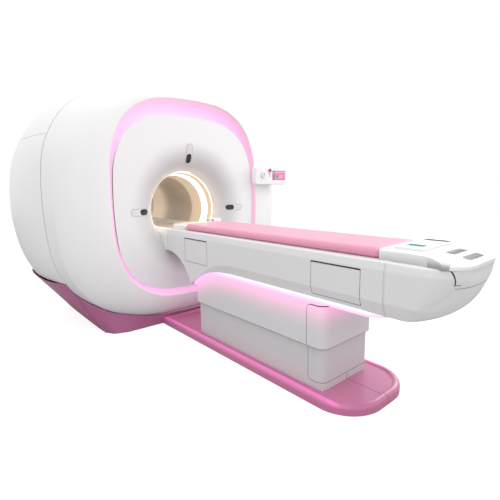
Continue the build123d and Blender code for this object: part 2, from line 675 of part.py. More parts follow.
def claw_curve(points):
    """Points given from the head's end and the table's underside, as y and z."""
    return [(TABLE_HEAD_Y + y, TABLE_UNDER + z) for y, z in points]


def moved(points, distance):
    """Points moved sideways off their own curve, to the right of its direction of travel."""
    result = []
    for i, (y, z) in enumerate(points):
        y0, z0 = points[max(i - 1, 0)]
        y1, z1 = points[min(i + 1, len(points) - 1)]
        length = ((y1 - y0) ** 2 + (z1 - z0) ** 2) ** 0.5
        result.append((y + distance * (z1 - z0) / length, z - distance * (y1 - y0) / length))
    return result


def light_lower():
    """The light's lower edge: the claw's curve moved down by the light's height."""
    curve = claw_curve(CLAW_POINTS)
    lower = moved(curve, -LIGHT_HEIGHT)
    lower[-1] = (curve[-1][0], TABLE_UNDER - LIGHT_HEIGHT)
    return lower


def side_prism(face, half):
    """Face drawn with y and z, spread to both sides of the middle."""
    return extrude(Plane.YZ * face, half, both=True)


def plan_tube(half, head_y, foot_y, wall, z0, z1):
    """Rounded rectangular tube round the pedestal with larger corners at the foot end."""
    solids = []
    for inset in (0, wall):
        body = block(-half + inset, half - inset, foot_y + inset, head_y - inset, z0 - inset, z1 + inset)
        uprights = body.edges().filter_by(Axis.Z)
        body = fillet(uprights.group_by(Axis.Y)[0], FOOT_CORNER - inset)
        uprights = body.edges().filter_by(Axis.Z)
        body = fillet(uprights.group_by(Axis.Y)[-1], HEAD_CORNER - inset / 2)
        solids.append(body)
    return solids[0] - solids[1]


def pedestal_lower():
    """Fixed cover and its end cover above the kick strip, with a groove along their seams."""
    size = (PEDESTAL_HALF, PEDESTAL_HEAD_Y, PEDESTAL_FOOT_Y)
    tube = plan_tube(*size, PEDESTAL_WALL, TRAY_FLOOR, PEDESTAL_TOP)
    skin = plan_tube(*size, GROOVE_DEPTH, TRAY_FLOOR, PEDESTAL_TOP)
    low = TRAY_FLOOR + KICK_HEIGHT
    before = PEDESTAL_FOOT_Y - 50
    cut = block(-500, 500, before, END_COVER_Y, low, 500)
    cut = fillet(cut.edges().filter_by(Axis.X).group_by(Axis.Z)[0].sort_by(Axis.Y)[-1:], END_COVER_ROUND)
    grown = block(-500, 500, before, END_COVER_Y + GROOVE, low - GROOVE, 500)
    grown = fillet(grown.edges().filter_by(Axis.X).group_by(Axis.Z)[0].sort_by(Axis.Y)[-1:], END_COVER_ROUND + GROOVE)
    grown += block(-GROOVE / 2, GROOVE / 2, before, PEDESTAL_FOOT_Y + 20, TRAY_FLOOR, low)
    return tube - cut - (skin & grown), tube & cut


def pedestal_upper():
    """Sleeve that hides the lift, cut to the light above it, and its end cover."""
    head_y = PEDESTAL_HEAD_Y + SLEEVE_GROWTH - 2
    foot_y = PEDESTAL_FOOT_Y - SLEEVE_GROWTH - 2
    under = TABLE_UNDER - LIGHT_HEIGHT
    tube = plan_tube(SLEEVE_HALF, head_y, foot_y, SLEEVE_WALL, SLEEVE_LOW, under)
    lower = light_lower()
    ahead = PEDESTAL_HEAD_Y + 250
    corners = (lower[-1], (lower[-1][0], TABLE_TOP), (ahead, TABLE_TOP), (ahead, SLEEVE_LOW), lower[0])
    sleeve = tube - side_prism(make_face(Spline(lower) + Polyline(*corners)), 400)
    skin = plan_tube(SLEEVE_HALF, head_y, foot_y, GROOVE_DEPTH, SLEEVE_LOW, under)
    windows = []
    for grow in (0, GROOVE):
        window = block(-500, 500, foot_y - 50, END_COVER_Y + grow, SLEEVE_LOW - 10, under - 18 + grow)
        corner = window.edges().filter_by(Axis.X).group_by(Axis.Z)[-1].sort_by(Axis.Y)[-1:]
        windows.append(fillet(corner, END_COVER_ROUND + grow))
    window, grown = windows
    return sleeve - window - (skin & grown), sleeve & window


def square_tube(half, wall, y, z0, z1):
    tube = Pos(0, y, (z0 + z1) / 2) * Box(2 * half, 2 * half, z1 - z0)
    tube = fillet(tube.edges().filter_by(Axis.Z), 8)
    return tube - Pos(0, y, (z0 + z1) / 2) * Box(2 * (half - wall), 2 * (half - wall), z1 - z0 + 2)


def lift_columns():
    """Two telescopic columns: fixed outer tubes on a base plate, middle tubes and inner tubes."""
    middle_half = COLUMN_HALF - COLUMN_WALL - 0.5
    inner_half = middle_half - COLUMN_WALL - 0.5
    y0 = COLUMN_PLACES[1] - COLUMN_HALF - 60
    y1 = COLUMN_PLACES[0] + COLUMN_HALF + 60
    well = PEDESTAL_HALF - PEDESTAL_WALL
    plate_low = TOP_PLATE_Z - TOP_PLATE
    outer = block(-well, well, y0, y1, 0, BASE_PLATE)
    outer = fillet(outer.edges().filter_by(Axis.Z), 25)
    inner = block(-well + 30, well - 30, y0, y1, plate_low, TOP_PLATE_Z)
    inner = fillet(inner.edges().filter_by(Axis.Z), 25)
    middles = []
    middle_low = BASE_PLATE + LIFT_TRAVEL / 2 + 45
    middle_high = plate_low - LIFT_TRAVEL / 2 - 8
    for y in COLUMN_PLACES:
        outer += square_tube(COLUMN_HALF, COLUMN_WALL, y, BASE_PLATE - 2, plate_low - LIFT_TRAVEL - 3)
        middles.append(square_tube(middle_half, COLUMN_WALL, y, middle_low, middle_high))
        inner += square_tube(inner_half, COLUMN_WALL, y, BASE_PLATE + LIFT_TRAVEL + 50, plate_low + 2)
    return outer, middles, inner


def lift_motor():
    """Motor with its gearbox on the base plate, in the room between the columns."""
    y = sum(COLUMN_PLACES) / 2
    room = abs(COLUMN_PLACES[0] - COLUMN_PLACES[1]) / 2 - COLUMN_HALF
    gearbox = block(-70, 70, y - 70, y + 50, BASE_PLATE, 150)
    gearbox = fillet(gearbox.edges().filter_by(Axis.Z), 12)
    length = room - 75
    axis_z = BASE_PLATE + 70
    motor = gearbox + extrude(Plane(origin=(0, y + 50, axis_z), z_dir=(0, 1, 0)) * Circle(48), length)
    for i in range(5):
        place = y + 50 + length * (0.18 + 0.14 * i)
        motor += extrude(Plane(origin=(0, place, axis_z), z_dir=(0, 1, 0)) * Circle(53), length / 22)
    return motor


# Table


def table_profile(inset):
    """Section across the table above its chamfer: tilted bands and rounded ledge edges."""
    half, band = TABLE_HALF - inset, BAND_HALF - inset
    top = TABLE_TOP - inset
    corners = [(half, 0), (half, TABLE_BAND), (band, top), (-band, top), (-half, TABLE_BAND), (-half, 0)]
    face = make_face(Polyline(*corners, close=True))
    if inset == 0:
        ledge = face.vertices().group_by(Axis.Y)[-1]
        face = fillet(ledge, LEDGE_ROUND)
    return Plane(origin=(0, 0, 0), x_dir=(1, 0, 0), z_dir=(0, -1, 0)) * face


def fairing_side(inset):
    """Side view of the fairing, moved in by `inset`; the claw's tip stays solid."""
    claw = claw_curve(CLAW_POINTS)
    arch = moved(claw_curve(ARCH_POINTS), inset)
    under = moved(claw, inset)
    head = TABLE_HEAD_Y - inset
    top = TABLE_TOP - inset
    low = TABLE_UNDER + inset
    arch[0] = (head, arch[0][1])
    under[-1] = (claw[-1][0], low)
    if inset:
        arch = arch[:-1]
        under = under[1:]
    edges = Spline(arch) + Line(arch[-1], under[0]) + Spline(under)
    edges += Line(under[-1], (FAIRING_END_Y, low)) + Line((FAIRING_END_Y, low), (FAIRING_END_Y, top))
    edges += Line((FAIRING_END_Y, top), (head, top)) + Line((head, top), arch[0])
    return make_face(edges)


def chamfer_wedge(side, inset):
    """What the slanted lower flank takes away, fading out towards the table's head."""
    slope = (TABLE_HALF - UNDER_HALF) / (TABLE_BEND - TABLE_UNDER)
    x = TABLE_HALF - inset
    sections = []
    for back, rise in CHAMFER_FADE:
        bend = TABLE_BEND + rise
        corners = [(side * x, bend), (side * (x + 80), bend), (side * (x + 80), bend - 160)]
        corners.append((side * (x - slope * 160), bend - 160))
        plane = Plane(origin=(0, TABLE_HEAD_Y + back, 0), x_dir=(1, 0, 0), z_dir=(0, -1, 0))
        sections.append(plane * make_face(Polyline(*corners, close=True)))
    start = Pos(0, FAIRING_END_Y - 400 - TABLE_HEAD_Y - CHAMFER_FADE[0][0], 0) * sections[0]
    return loft([start] + sections, ruled=True)


def table_body(inset):
    """Filled form of the table between its head and the nose."""
    body = side_prism(fairing_side(inset), TABLE_HALF)
    body &= extrude(table_profile(inset), TABLE_REACH, both=True)
    for side in (-1, 1):
        body -= chamfer_wedge(side, inset)
    return body


def channel_cut(y0, y1):
    return block(-CHANNEL_HALF, CHANNEL_HALF, y0, y1, CHANNEL_Z, TABLE_TOP + 50)


def hatch_window(place, side, gap):
    y0, y1 = HATCH_PLACES[place]
    return block(side * 100, side * 400, y0 - gap, y1 + gap, HATCH_LOW - gap, HATCH_HIGH + gap)


def fairings(body, skin):
    """Table fairing in two halves: a shell with the cradle's channel in its top."""
    wall = TABLE_WALL
    hollow = table_body(wall)
    hollow -= block(-CHANNEL_HALF - wall, CHANNEL_HALF + wall, -4000, 100, CHANNEL_Z - wall, TABLE_TOP)
    ends = (FAIRING_END_Y - 50, FAIRING_END_Y + 50)
    hollow += block(-UNDER_HALF + wall, UNDER_HALF - wall, *ends, TABLE_UNDER + wall, CHANNEL_Z - wall)
    shell = body - hollow - channel_cut(FAIRING_END_Y - 50, 100)
    mouth = LIGHT_IN_HALF + 0.5
    shell -= block(-mouth, mouth, PEDESTAL_FOOT_Y + 124, PEDESTAL_HEAD_Y + 8, 300, FRAME_LOW)
    shell -= block(-16, 16, CRADLE_END_Y + 200, TABLE_HEAD_Y - 247, CHANNEL_Z - 50, TABLE_TOP)
    recess = body - skin
    halves = []
    for side in (-1, 1):
        half = shell & block(side * 0.2, side * 400, -3000, 100, 0, 2000)
        for place in HATCH_PLACES:
            half -= hatch_window(place, side, HATCH_GAP) & recess
        halves.append(half)
    return halves


def hinge_line(place):
    """A hatch's hinge: half-width and height of its axis, its radius and the skin's tilt."""
    lean = (TABLE_HALF - UNDER_HALF) / (TABLE_BEND - TABLE_UNDER) if place == "foot" else 0.0
    z = HATCH_LOW + HATCH_WALL / 2
    half = TABLE_HALF - lean * (TABLE_BEND - z) - HATCH_WALL / 2
    tilt = atan(lean)
    return half, z, HATCH_WALL / 2 * cos(tilt), degrees(tilt)


def hatches(body, skin):
    """Four flaps in the fairing's flanks: bent skins with a rolled hinge edge and a grip gap."""
    layer = body - skin
    flaps = {}
    for side, name in ((-1, "left"), (1, "right")):
        for place, (y0, y1) in HATCH_PLACES.items():
            half, z, radius, tilt = hinge_line(place)
            flap = layer & hatch_window(place, side, 0)
            flap -= block(side * 100, side * 400, y0 - 5, y1 + 5, HATCH_HIGH - HATCH_GRIP, TABLE_TOP)
            axis = Plane(origin=(side * half, y0, z), z_dir=(0, 1, 0))
            flap -= Pos(side * half, y0, z) * Rot(0, side * tilt, 0) * block(-20, 20, -5, y1 - y0 + 5, -20, 0)
            flaps[f"hatch_{place}_{name}"] = flap + extrude(axis * Circle(radius), y1 - y0)
    return flaps


def nose_reach(z):
    """How far the nose runs past NOSE_MID_Y at height z: a superellipse in the side view."""
    drop = (TABLE_TOP + 18 - z) / NOSE_DROP
    return (TABLE_REACH + NOSE_MID_Y) * (1 - drop ** 1.6) ** (1 / 1.6)


def nose_half(z):
    """Half-width of the table at height z: slanted below the bend, tilted and rounded above."""
    if z < TABLE_BEND:
        return UNDER_HALF + (TABLE_HALF - UNDER_HALF) * (z - TABLE_UNDER) / (TABLE_BEND - TABLE_UNDER)
    tilt = max(0.0, z - TABLE_BAND) * (TABLE_HALF - BAND_HALF) / (TABLE_TOP - TABLE_BAND)
    rise = max(0.0, z - TABLE_TOP + LEDGE_ROUND)
    return TABLE_HALF - tilt - LEDGE_ROUND + (LEDGE_ROUND ** 2 - rise ** 2) ** 0.5


def nose_body(inset):
    """Rounded end of the table, lofted through level sections in three bands."""
    low = [TABLE_UNDER + inset, TABLE_UNDER + 20, TABLE_UNDER + 43, TABLE_BEND]
    middle = [TABLE_BEND + (TABLE_BAND - TABLE_BEND) * i / 3 for i in range(4)]
    high = [TABLE_BAND, TABLE_BAND + 16, TABLE_TOP - LEDGE_ROUND, TABLE_TOP - 3, TABLE_TOP]
    parts = []
    for levels in (low, middle, high):
        sections = []
        for z in levels:
            sections.append(level_section(z, nose_half(z), NOSE_MID_Y, nose_reach(z), NOSE_POWER, -inset))
        parts.append(loft(sections))
    return (parts[0] + parts[1] + parts[2]) & block(-400, 400, -3000, NOSE_MID_Y, 0, 2000)


def nose_straight(inset, past=0.0):
    """Straight stretch between the fairing and the rounded end."""
    length = FAIRING_END_Y - 0.8 + past - NOSE_MID_Y
    body = block(-400, 400, NOSE_MID_Y, NOSE_MID_Y + length, TABLE_UNDER + inset, TABLE_TOP)
    body &= extrude(table_profile(0), TABLE_REACH, both=True)
    if inset:
        body &= block(-TABLE_HALF + inset, TABLE_HALF - inset, -3000, 0, 0, TABLE_TOP)
    for side in (-1, 1):
        body -= chamfer_wedge(side, inset)
    return body


def nose():
    """Nose shell and the apron let into its front."""
    outer = nose_body(0) + nose_straight(0)
    inner = nose_body(NOSE_WALL) + nose_straight(NOSE_WALL, 5)
    inner -= block(-400, 400, -3000, 0, CHANNEL_Z - NOSE_WALL, TABLE_TOP + 1)
    ledge = nose_body(NOSE_WALL) & block(-CHANNEL_HALF, CHANNEL_HALF, -3000, 0, CHANNEL_Z, TABLE_TOP + 1)
    straight = block(-CHANNEL_HALF, CHANNEL_HALF, NOSE_MID_Y - 1, 0, CHANNEL_Z, TABLE_TOP + 1)
    slot = block(-16, 16, CRADLE_END_Y + 190, 0, CHANNEL_Z - 50, TABLE_TOP)
    shell = outer - inner - ledge - straight - slot
    layer = outer - nose_body(6)
    parts = []
    for gap in (HATCH_GAP, 0.0):
        width = APRON_HALF + gap
        window = block(-width, width, -3000, NOSE_MID_Y - 150, APRON_LOW - gap, TABLE_TOP + 1)
        lower = window.edges().filter_by(Axis.Y).group_by(Axis.Z)[0]
        parts.append(chamfer(lower, APRON_CUT) & layer)
    pocket, apron = parts
    shell = max((shell - pocket).solids(), key=lambda part: part.volume)
    return shell, max(apron.solids(), key=lambda part: part.volume)


def under_light():
    """Light frame under the table that follows the claw's curve and ends in a round."""
    upper = claw_curve(CLAW_POINTS)
    lower = light_lower()
    end = FAIRING_END_Y
    corners = (upper[-1], (end, TABLE_UNDER), (end, TABLE_UNDER - LIGHT_HEIGHT), lower[-1])
    edges = Spline(upper) + Polyline(*corners) + Spline(list(reversed(lower))) + Line(lower[0], upper[0])
    body = side_prism(make_face(edges), LIGHT_HALF)
    plan = block(-LIGHT_HALF, LIGHT_HALF, end, 0, 300, TABLE_TOP)
    plan = fillet(plan.edges().filter_by(Axis.Z).group_by(Axis.Y)[0], 110)
    well = block(-LIGHT_IN_HALF, LIGHT_IN_HALF, end + 30, PEDESTAL_HEAD_Y + 10, 300, TABLE_TOP)
    well = fillet(well.edges().filter_by(Axis.Z).group_by(Axis.Y)[0], 90)
    return (body & plan) - well


def table_frame():
    """Two rails with cross members on the lift's top plate, and a guide rail on each."""
    top = CHANNEL_Z - TABLE_WALL - SEAT
    near, far = RAIL_HALVES
    head, foot = TABLE_HEAD_Y - 217, NOSE_MID_Y
    frame = Part()
    for side in (-1, 1):
        frame += block(side * near, side * far, foot, head, FRAME_LOW, top - 20)
        frame -= block(side * (near + 6), side * (far - 6), foot - 80, head + 80, FRAME_LOW + 6, top - 26)
        frame += block(side * (near + 15), side * (far - 15), foot, head, top - 21, top)
    places = [head - 35, head - 310, *COLUMN_PLACES, PEDESTAL_FOOT_Y - 96, foot + 20]
    for y in places:
        frame += block(-near - 1, near + 1, y - 25, y + 25, FRAME_LOW + 10, FRAME_LOW + 50)
    for y in COLUMN_PLACES:
        frame += block(-far + 10, far - 10, y - 70, y + 70, TOP_PLATE_Z, FRAME_LOW + 12)
    return frame


# Drive of the cradle


def pulley(y):
    """Flanged pulley across the table with a toothed face and its spindle."""
    plane = Plane(origin=(0, y, BELT_Z), z_dir=(1, 0, 0))
    body = extrude(plane * Circle(PULLEY_R), PULLEY_WIDTH / 2, both=True)
    for side in (-1, 1):
        flange = Plane(origin=(side * (PULLEY_WIDTH / 2), y, BELT_Z), z_dir=(side, 0, 0))
        body += extrude(flange * Circle(PULLEY_R + 5), 3)
    for i in range(PULLEY_TEETH):
        angle = 2 * pi * i / PULLEY_TEETH
        groove = plane * Pos(PULLEY_R * cos(angle), PULLEY_R * sin(angle)) * Circle(1.6)
        body -= extrude(groove, PULLEY_WIDTH / 2, both=True)
    return body + extrude(plane * Circle(SPINDLE_R), 60, both=True)


def drive_belt():
    """Flat loop round both pulleys."""
    length = DRIVE_Y - IDLER_Y
    inner_r = PULLEY_R + SEAT
    plane = Plane(origin=(0, (DRIVE_Y + IDLER_Y) / 2, BELT_Z), x_dir=(0, 1, 0), z_dir=(1, 0, 0))
    outer = SlotOverall(length + 2 * (inner_r + BELT_WALL), 2 * (inner_r + BELT_WALL))
    inner = SlotOverall(length + 2 * inner_r, 2 * inner_r)
    return extrude(plane * (outer - inner), PULLEY_WIDTH / 2 - 1.5, both=True)


def drive_motor():
    """Motor beside the drive pulley on a bracket that stands on the frame's cross member."""
    plane = Plane(origin=(30, DRIVE_Y, BELT_Z), z_dir=(1, 0, 0))
    can = extrude(plane * Circle(36), 92)
    y0, y1 = DRIVE_Y - 45, DRIVE_Y + 45
    low = FRAME_LOW + 50
    plate = block(22, 30, y0, y1, low, BELT_Z + 40)
    foot = block(22, 110, y0, y1, low, low + 8)
    bore = extrude(Plane(origin=(0, DRIVE_Y, BELT_Z), z_dir=(1, 0, 0)) * Circle(SPINDLE_R + 0.1), 61)
    return can + plate + foot - bore


# Cradle and its pads


def cradle_board():
    """Stiff tray that slides in the channel, with glide strips and the belt clamp under it."""
    z0 = CHANNEL_Z + 2
    board = block(-CRADLE_HALF, CRADLE_HALF, CRADLE_END_Y, CAP_HEAD_Y, z0, TABLE_TOP)
    board = fillet(board.edges().filter_by(Axis.Z), 32)
    pitch = (CAP_HEAD_Y - CRADLE_END_Y - 207) / 7
    for i in range(7):
        y = CRADLE_END_Y + 135 + pitch * i
        board -= block(-150, 150, y, y + pitch - 40, z0 - 1, TABLE_TOP - 14)
    for side in (-1, 1):
        board += block(side * 185, side * 205, CRADLE_END_Y + 40, CAP_HEAD_Y - 40, z0 - 1.7, z0 + 1)
    belt_top = BELT_Z + PULLEY_R + SEAT + BELT_WALL
    clamp_y = IDLER_Y + 190
    return board + block(-14, 14, clamp_y, clamp_y + 60, belt_top + 0.5, TABLE_TOP - 4)


def mattress():
    """Long pad with soft edges."""
    base = TABLE_TOP + SEAT
    pad = block(-CRADLE_HALF, CRADLE_HALF, MATTRESS_FOOT_Y, MATTRESS_HEAD_Y, base, MATTRESS_TOP)
    pad = fillet(pad.edges().filter_by(Axis.Z), 12)
    return fillet(pad.edges().group_by(Axis.Z)[-1], 14)


def head_end_cap():
    """Moulded block at the head of the cradle with two raised coil ports on its far side."""
    y0 = MATTRESS_HEAD_Y + 0.5
    cap = block(-CRADLE_HALF, CRADLE_HALF, y0, CAP_HEAD_Y, TABLE_TOP, MATTRESS_TOP - 14)
    cap = fillet(cap.edges().filter_by(Axis.Z).group_by(Axis.Y)[-1], 60)
    cap = fillet(cap.edges().group_by(Axis.Z)[-1], 10)
    dish = Plane(origin=(0, y0 - 20, MATTRESS_TOP + 240), z_dir=(0, 1, 0)) * Circle(285)
    cap -= extrude(dish, 160)
    for place in PORT_PLACES:
        y = MATTRESS_HEAD_Y + place
        port = block(128, 205, y, y + 52, TABLE_TOP + 20, MATTRESS_TOP + 16)
        port = fillet(port.edges().group_by(Axis.Z)[-1], 7)
        cap += port - block(124, 196, y + 10, y + 42, MATTRESS_TOP - 6, MATTRESS_TOP + 9)
    return cap


def cap_outline(y):
    """Half-width of the foot cap's dome: the cradle's, then out to the nose's superellipse."""
    part = min(1.0, max(0.0, (CAP_BLEND_Y - y) / 140))
    part = part * part * (3 - 2 * part)
    reach = max(0.0, (NOSE_MID_Y - y) / (TABLE_REACH + NOSE_MID_Y))
    nose_edge = TABLE_HALF * (1 - min(reach, 0.992) ** NOSE_POWER) ** (1 / NOSE_POWER)
    dome = CRADLE_HALF + 4
    return dome + (nose_edge - dome) * part


def cap_dome():
    """Crowned top of the foot cap, lofted through superellipses that fall towards the tip."""
    places = [CAP_FOOT_Y, CAP_FOOT_Y - 85, CAP_BLEND_Y, CAP_BLEND_Y - 35, CAP_BLEND_Y - 70, CAP_BLEND_Y - 110]
    places += [CAP_BLEND_Y - 150, CAP_BLEND_Y - 180, CAP_BLEND_Y - 200, CAP_BLEND_Y - 212, -TABLE_REACH]
    sections = []
    for y in places:
        part = max(0.0, (CAP_BLEND_Y - y) / (CAP_BLEND_Y + TABLE_REACH))
        rise = CAP_RISE - (CAP_RISE - CAP_EDGE) * part ** 1.8
        power = 9.0 - 4.5 * min(1.0, 1.5 * part)
        plane = Plane(origin=(0, y, TABLE_TOP + 0.4), x_dir=(1, 0, 0), z_dir=(0, -1, 0))
        sections.append(plane * smooth_face(oval(cap_outline(y), rise, power, 0)))
    return loft(sections) & block(-400, 400, -3000, 0, TABLE_TOP + 0.4, 2000)


def cap_flank(side):
    """What lies outside the foot cap's flank, which sweeps out into the wing."""
    wall = [(0, 100), (0, 0), (4, -40), (14, -80), (27, -115), (45, -150)]
    points = [(side * (CRADLE_HALF + out), CAP_BLEND_Y + back) for out, back in wall]
    far = side * (CRADLE_HALF + 100)
    head = (points[0][0], CAP_FOOT_Y + 5)
    corners = (points[-1], (far, points[-1][1]), (far, head[1]), head, points[0])
    face = make_face(Line(points[0], points[1]) + Spline(points[1:], tangents=[(0, -1), (side, -1)]) + Polyline(*corners))
    return Pos(0, 0, TABLE_TOP) * extrude(face, 2 * CAP_RISE)


def foot_end_cap():
    """End block of the cradle over the nose: a crowned dome with a wing and two hand grips."""
    body = cap_dome()
    for side in (-1, 1):
        body -= cap_flank(side)
    top = TABLE_TOP + CAP_RISE
    for start, length, half in ((-105, 43, 88), (-178, 38, 90)):
        y0 = NOSE_MID_Y + start
        grip = block(-half, half, y0 - length, y0, TABLE_TOP + 6.4, top + 20)
        grip = fillet(grip.edges().filter_by(Axis.Z), 17)
        grip = fillet(grip.edges().group_by(Axis.Z)[0], 4)
        body -= grip
    half = DECK_HALF + SEAT
    seat = block(-half, half, DECK_FOOT_Y - SEAT, DECK_HEAD_Y + SEAT, top - 6, top + 20)
    return body - fillet(seat.edges().filter_by(Axis.Z), DECK_CORNER + SEAT)


def coil_port_deck():
    """Raised deck with two long coil sockets, set into the foot cap."""
    top = TABLE_TOP + CAP_RISE
    deck = block(-DECK_HALF, DECK_HALF, DECK_FOOT_Y, DECK_HEAD_Y, top - 6, top + DECK_RISE)
    deck = fillet(deck.edges().filter_by(Axis.Z), DECK_CORNER)
    deck = fillet(deck.edges().group_by(Axis.Z)[-1], 5)
    for x, half, margin in SOCKETS:
        socket = block(x - half, x + half, DECK_FOOT_Y + margin, DECK_HEAD_Y - margin, top + 3, top + 30)
        deck -= fillet(socket.edges().filter_by(Axis.Z), 6)
    return deck


# Fixed dock and bridge


def table_dock():
    """Fixed end of the table run in the trumpet, notched where the cradle's end comes down."""
    low = TABLE_UNDER + ARCH_POINTS[0][1]
    dock = block(-TABLE_HALF, TABLE_HALF, TABLE_HEAD_Y + 3, TRUMPET_END_Y, low, TABLE_TOP)
    dock &= extrude(table_profile(0), TABLE_REACH, both=True)
    dock &= trumpet_inside(0.4)
    dock -= block(-CHANNEL_HALF, CHANNEL_HALF, TABLE_HEAD_Y, CAP_HEAD_Y + 2, low - 10, TABLE_TOP + 10)
    return dock - channel_cut(TABLE_HEAD_Y - 17, TRUMPET_END_Y + 200)


def bore_bridge():
    """Bridge under the cradle: fills the bottom of the bore up to the table's height."""
    y0 = TRUMPET_END_Y + 0.5
    gap = 0.3
    low = BORE_Z - BORE_R - 60
    deck = block(-400, 400, y0, LINER_END_Y, low, TABLE_TOP)
    profile = ((0, y0), (TRUMPET_END_R - gap - 1, y0), (WIDE_RING_OUT_R - gap, FUNNEL_END_Y))
    profile += ((WIDE_RING_IN_R - gap, WIDE_RING_END_Y), (BORE_R - gap, LINER_STRAIGHT_Y))
    profile += ((BORE_R - gap, LINER_END_Y), (0, LINER_END_Y))
    room = turned(make_face(Polyline(*profile, close=True)))
    bridge = (deck & room) - channel_cut(y0 - 50, LINER_END_Y + 50)
    hollow = bore_plug(BORE_R - 12, y0 + 30, LINER_END_Y - 30)
    return bridge - (hollow & block(-400, 400, y0, LINER_END_Y, low, CHANNEL_Z - 14))


# Display pod


def rounded_plate(x0, x1, z0, z1, y0, depth, radius):
    plate = block(x0, x1, y0, y0 + depth, z0, z1)
    return fillet(plate.edges().filter_by(Axis.Y), radius)


def display_housing(front):
    """Pod with pockets for screen, knob and stop button, on a bracket cut to the cover."""
    pod = rounded_plate(POD_LEFT, POD_RIGHT, POD_LOW, POD_HIGH, POD_FRONT_Y, POD_DEPTH, 30)
    pod = fillet(pod.edges().group_by(Axis.Y)[0], 7)
    left, right = POD_LEFT + 130, POD_RIGHT - 130
    pod += rounded_plate(left, right, POD_LOW + 40, POD_HIGH - 40, POD_FRONT_Y + 40, 140, 20)
    pod -= front
    x0, x1, z0, z1 = SCREEN
    pod -= rounded_plate(x0 - SEAT, x1 + SEAT, z0 - SEAT, z1 + SEAT, POD_FRONT_Y - 10, 16, 6)
    for x, z in ((STOP_X, STOP_Z), (KNOB_X, KNOB_Z)):
        pod -= extrude(Plane(origin=(x, POD_FRONT_Y - 1, z), z_dir=(0, 1, 0)) * Circle(POD_STEM_R), 25)
    slot_x, slot_z = STOP_X + 5, KNOB_Z + 3
    pod -= rounded_plate(slot_x - 3, slot_x + 3, slot_z - 19, slot_z + 19, POD_FRONT_Y - 5, 8, 2.5)
    return pod


def display_screen():
    return rounded_plate(*SCREEN, POD_FRONT_Y + 1.0, 4.9, 6)


def emergency_stop():
    """Mushroom button on a stem, with a gap under its head for the travel."""
    stem = POD_STEM_R - 0.1
    profile = ((0, -21), (12, -19), (16.5, -14), (16.5, -9), (stem, -8), (stem, 17), (0, 17))
    return spun(profile, STOP_X, STOP_Z)


def display_knob():
    """Round dial with a dished face, a fluted grip edge and a stem."""
    stem = POD_STEM_R - 0.1
    rim = KNOB_R - 2
    profile = ((0, -10), (17, -10), (21, -15), (rim, -15), (KNOB_R, -12), (KNOB_R, -1))
    profile += ((stem, -1), (stem, 17), (0, 17))
    knob = spun(profile, KNOB_X, KNOB_Z)
    flutes = 18
    for i in range(flutes):
        angle = 2 * pi * i / flutes
        x = KNOB_X + (KNOB_R + 0.6) * cos(angle)
        z = KNOB_Z + (KNOB_R + 0.6) * sin(angle)
        knob -= extrude(Plane(origin=(x, POD_FRONT_Y - 13, z), z_dir=(0, 1, 0)) * Circle(1.6), 10)
    return knob


def spun(profile, x, z):
    """Turned part on the pod's face: the profile gives radius and depth behind the face."""
    face = make_face(Polyline(*profile, close=True))
    solid = revolve(Plane.XY * face, Axis.Y, 360)
    return Pos(x, POD_FRONT_Y, z) * solid


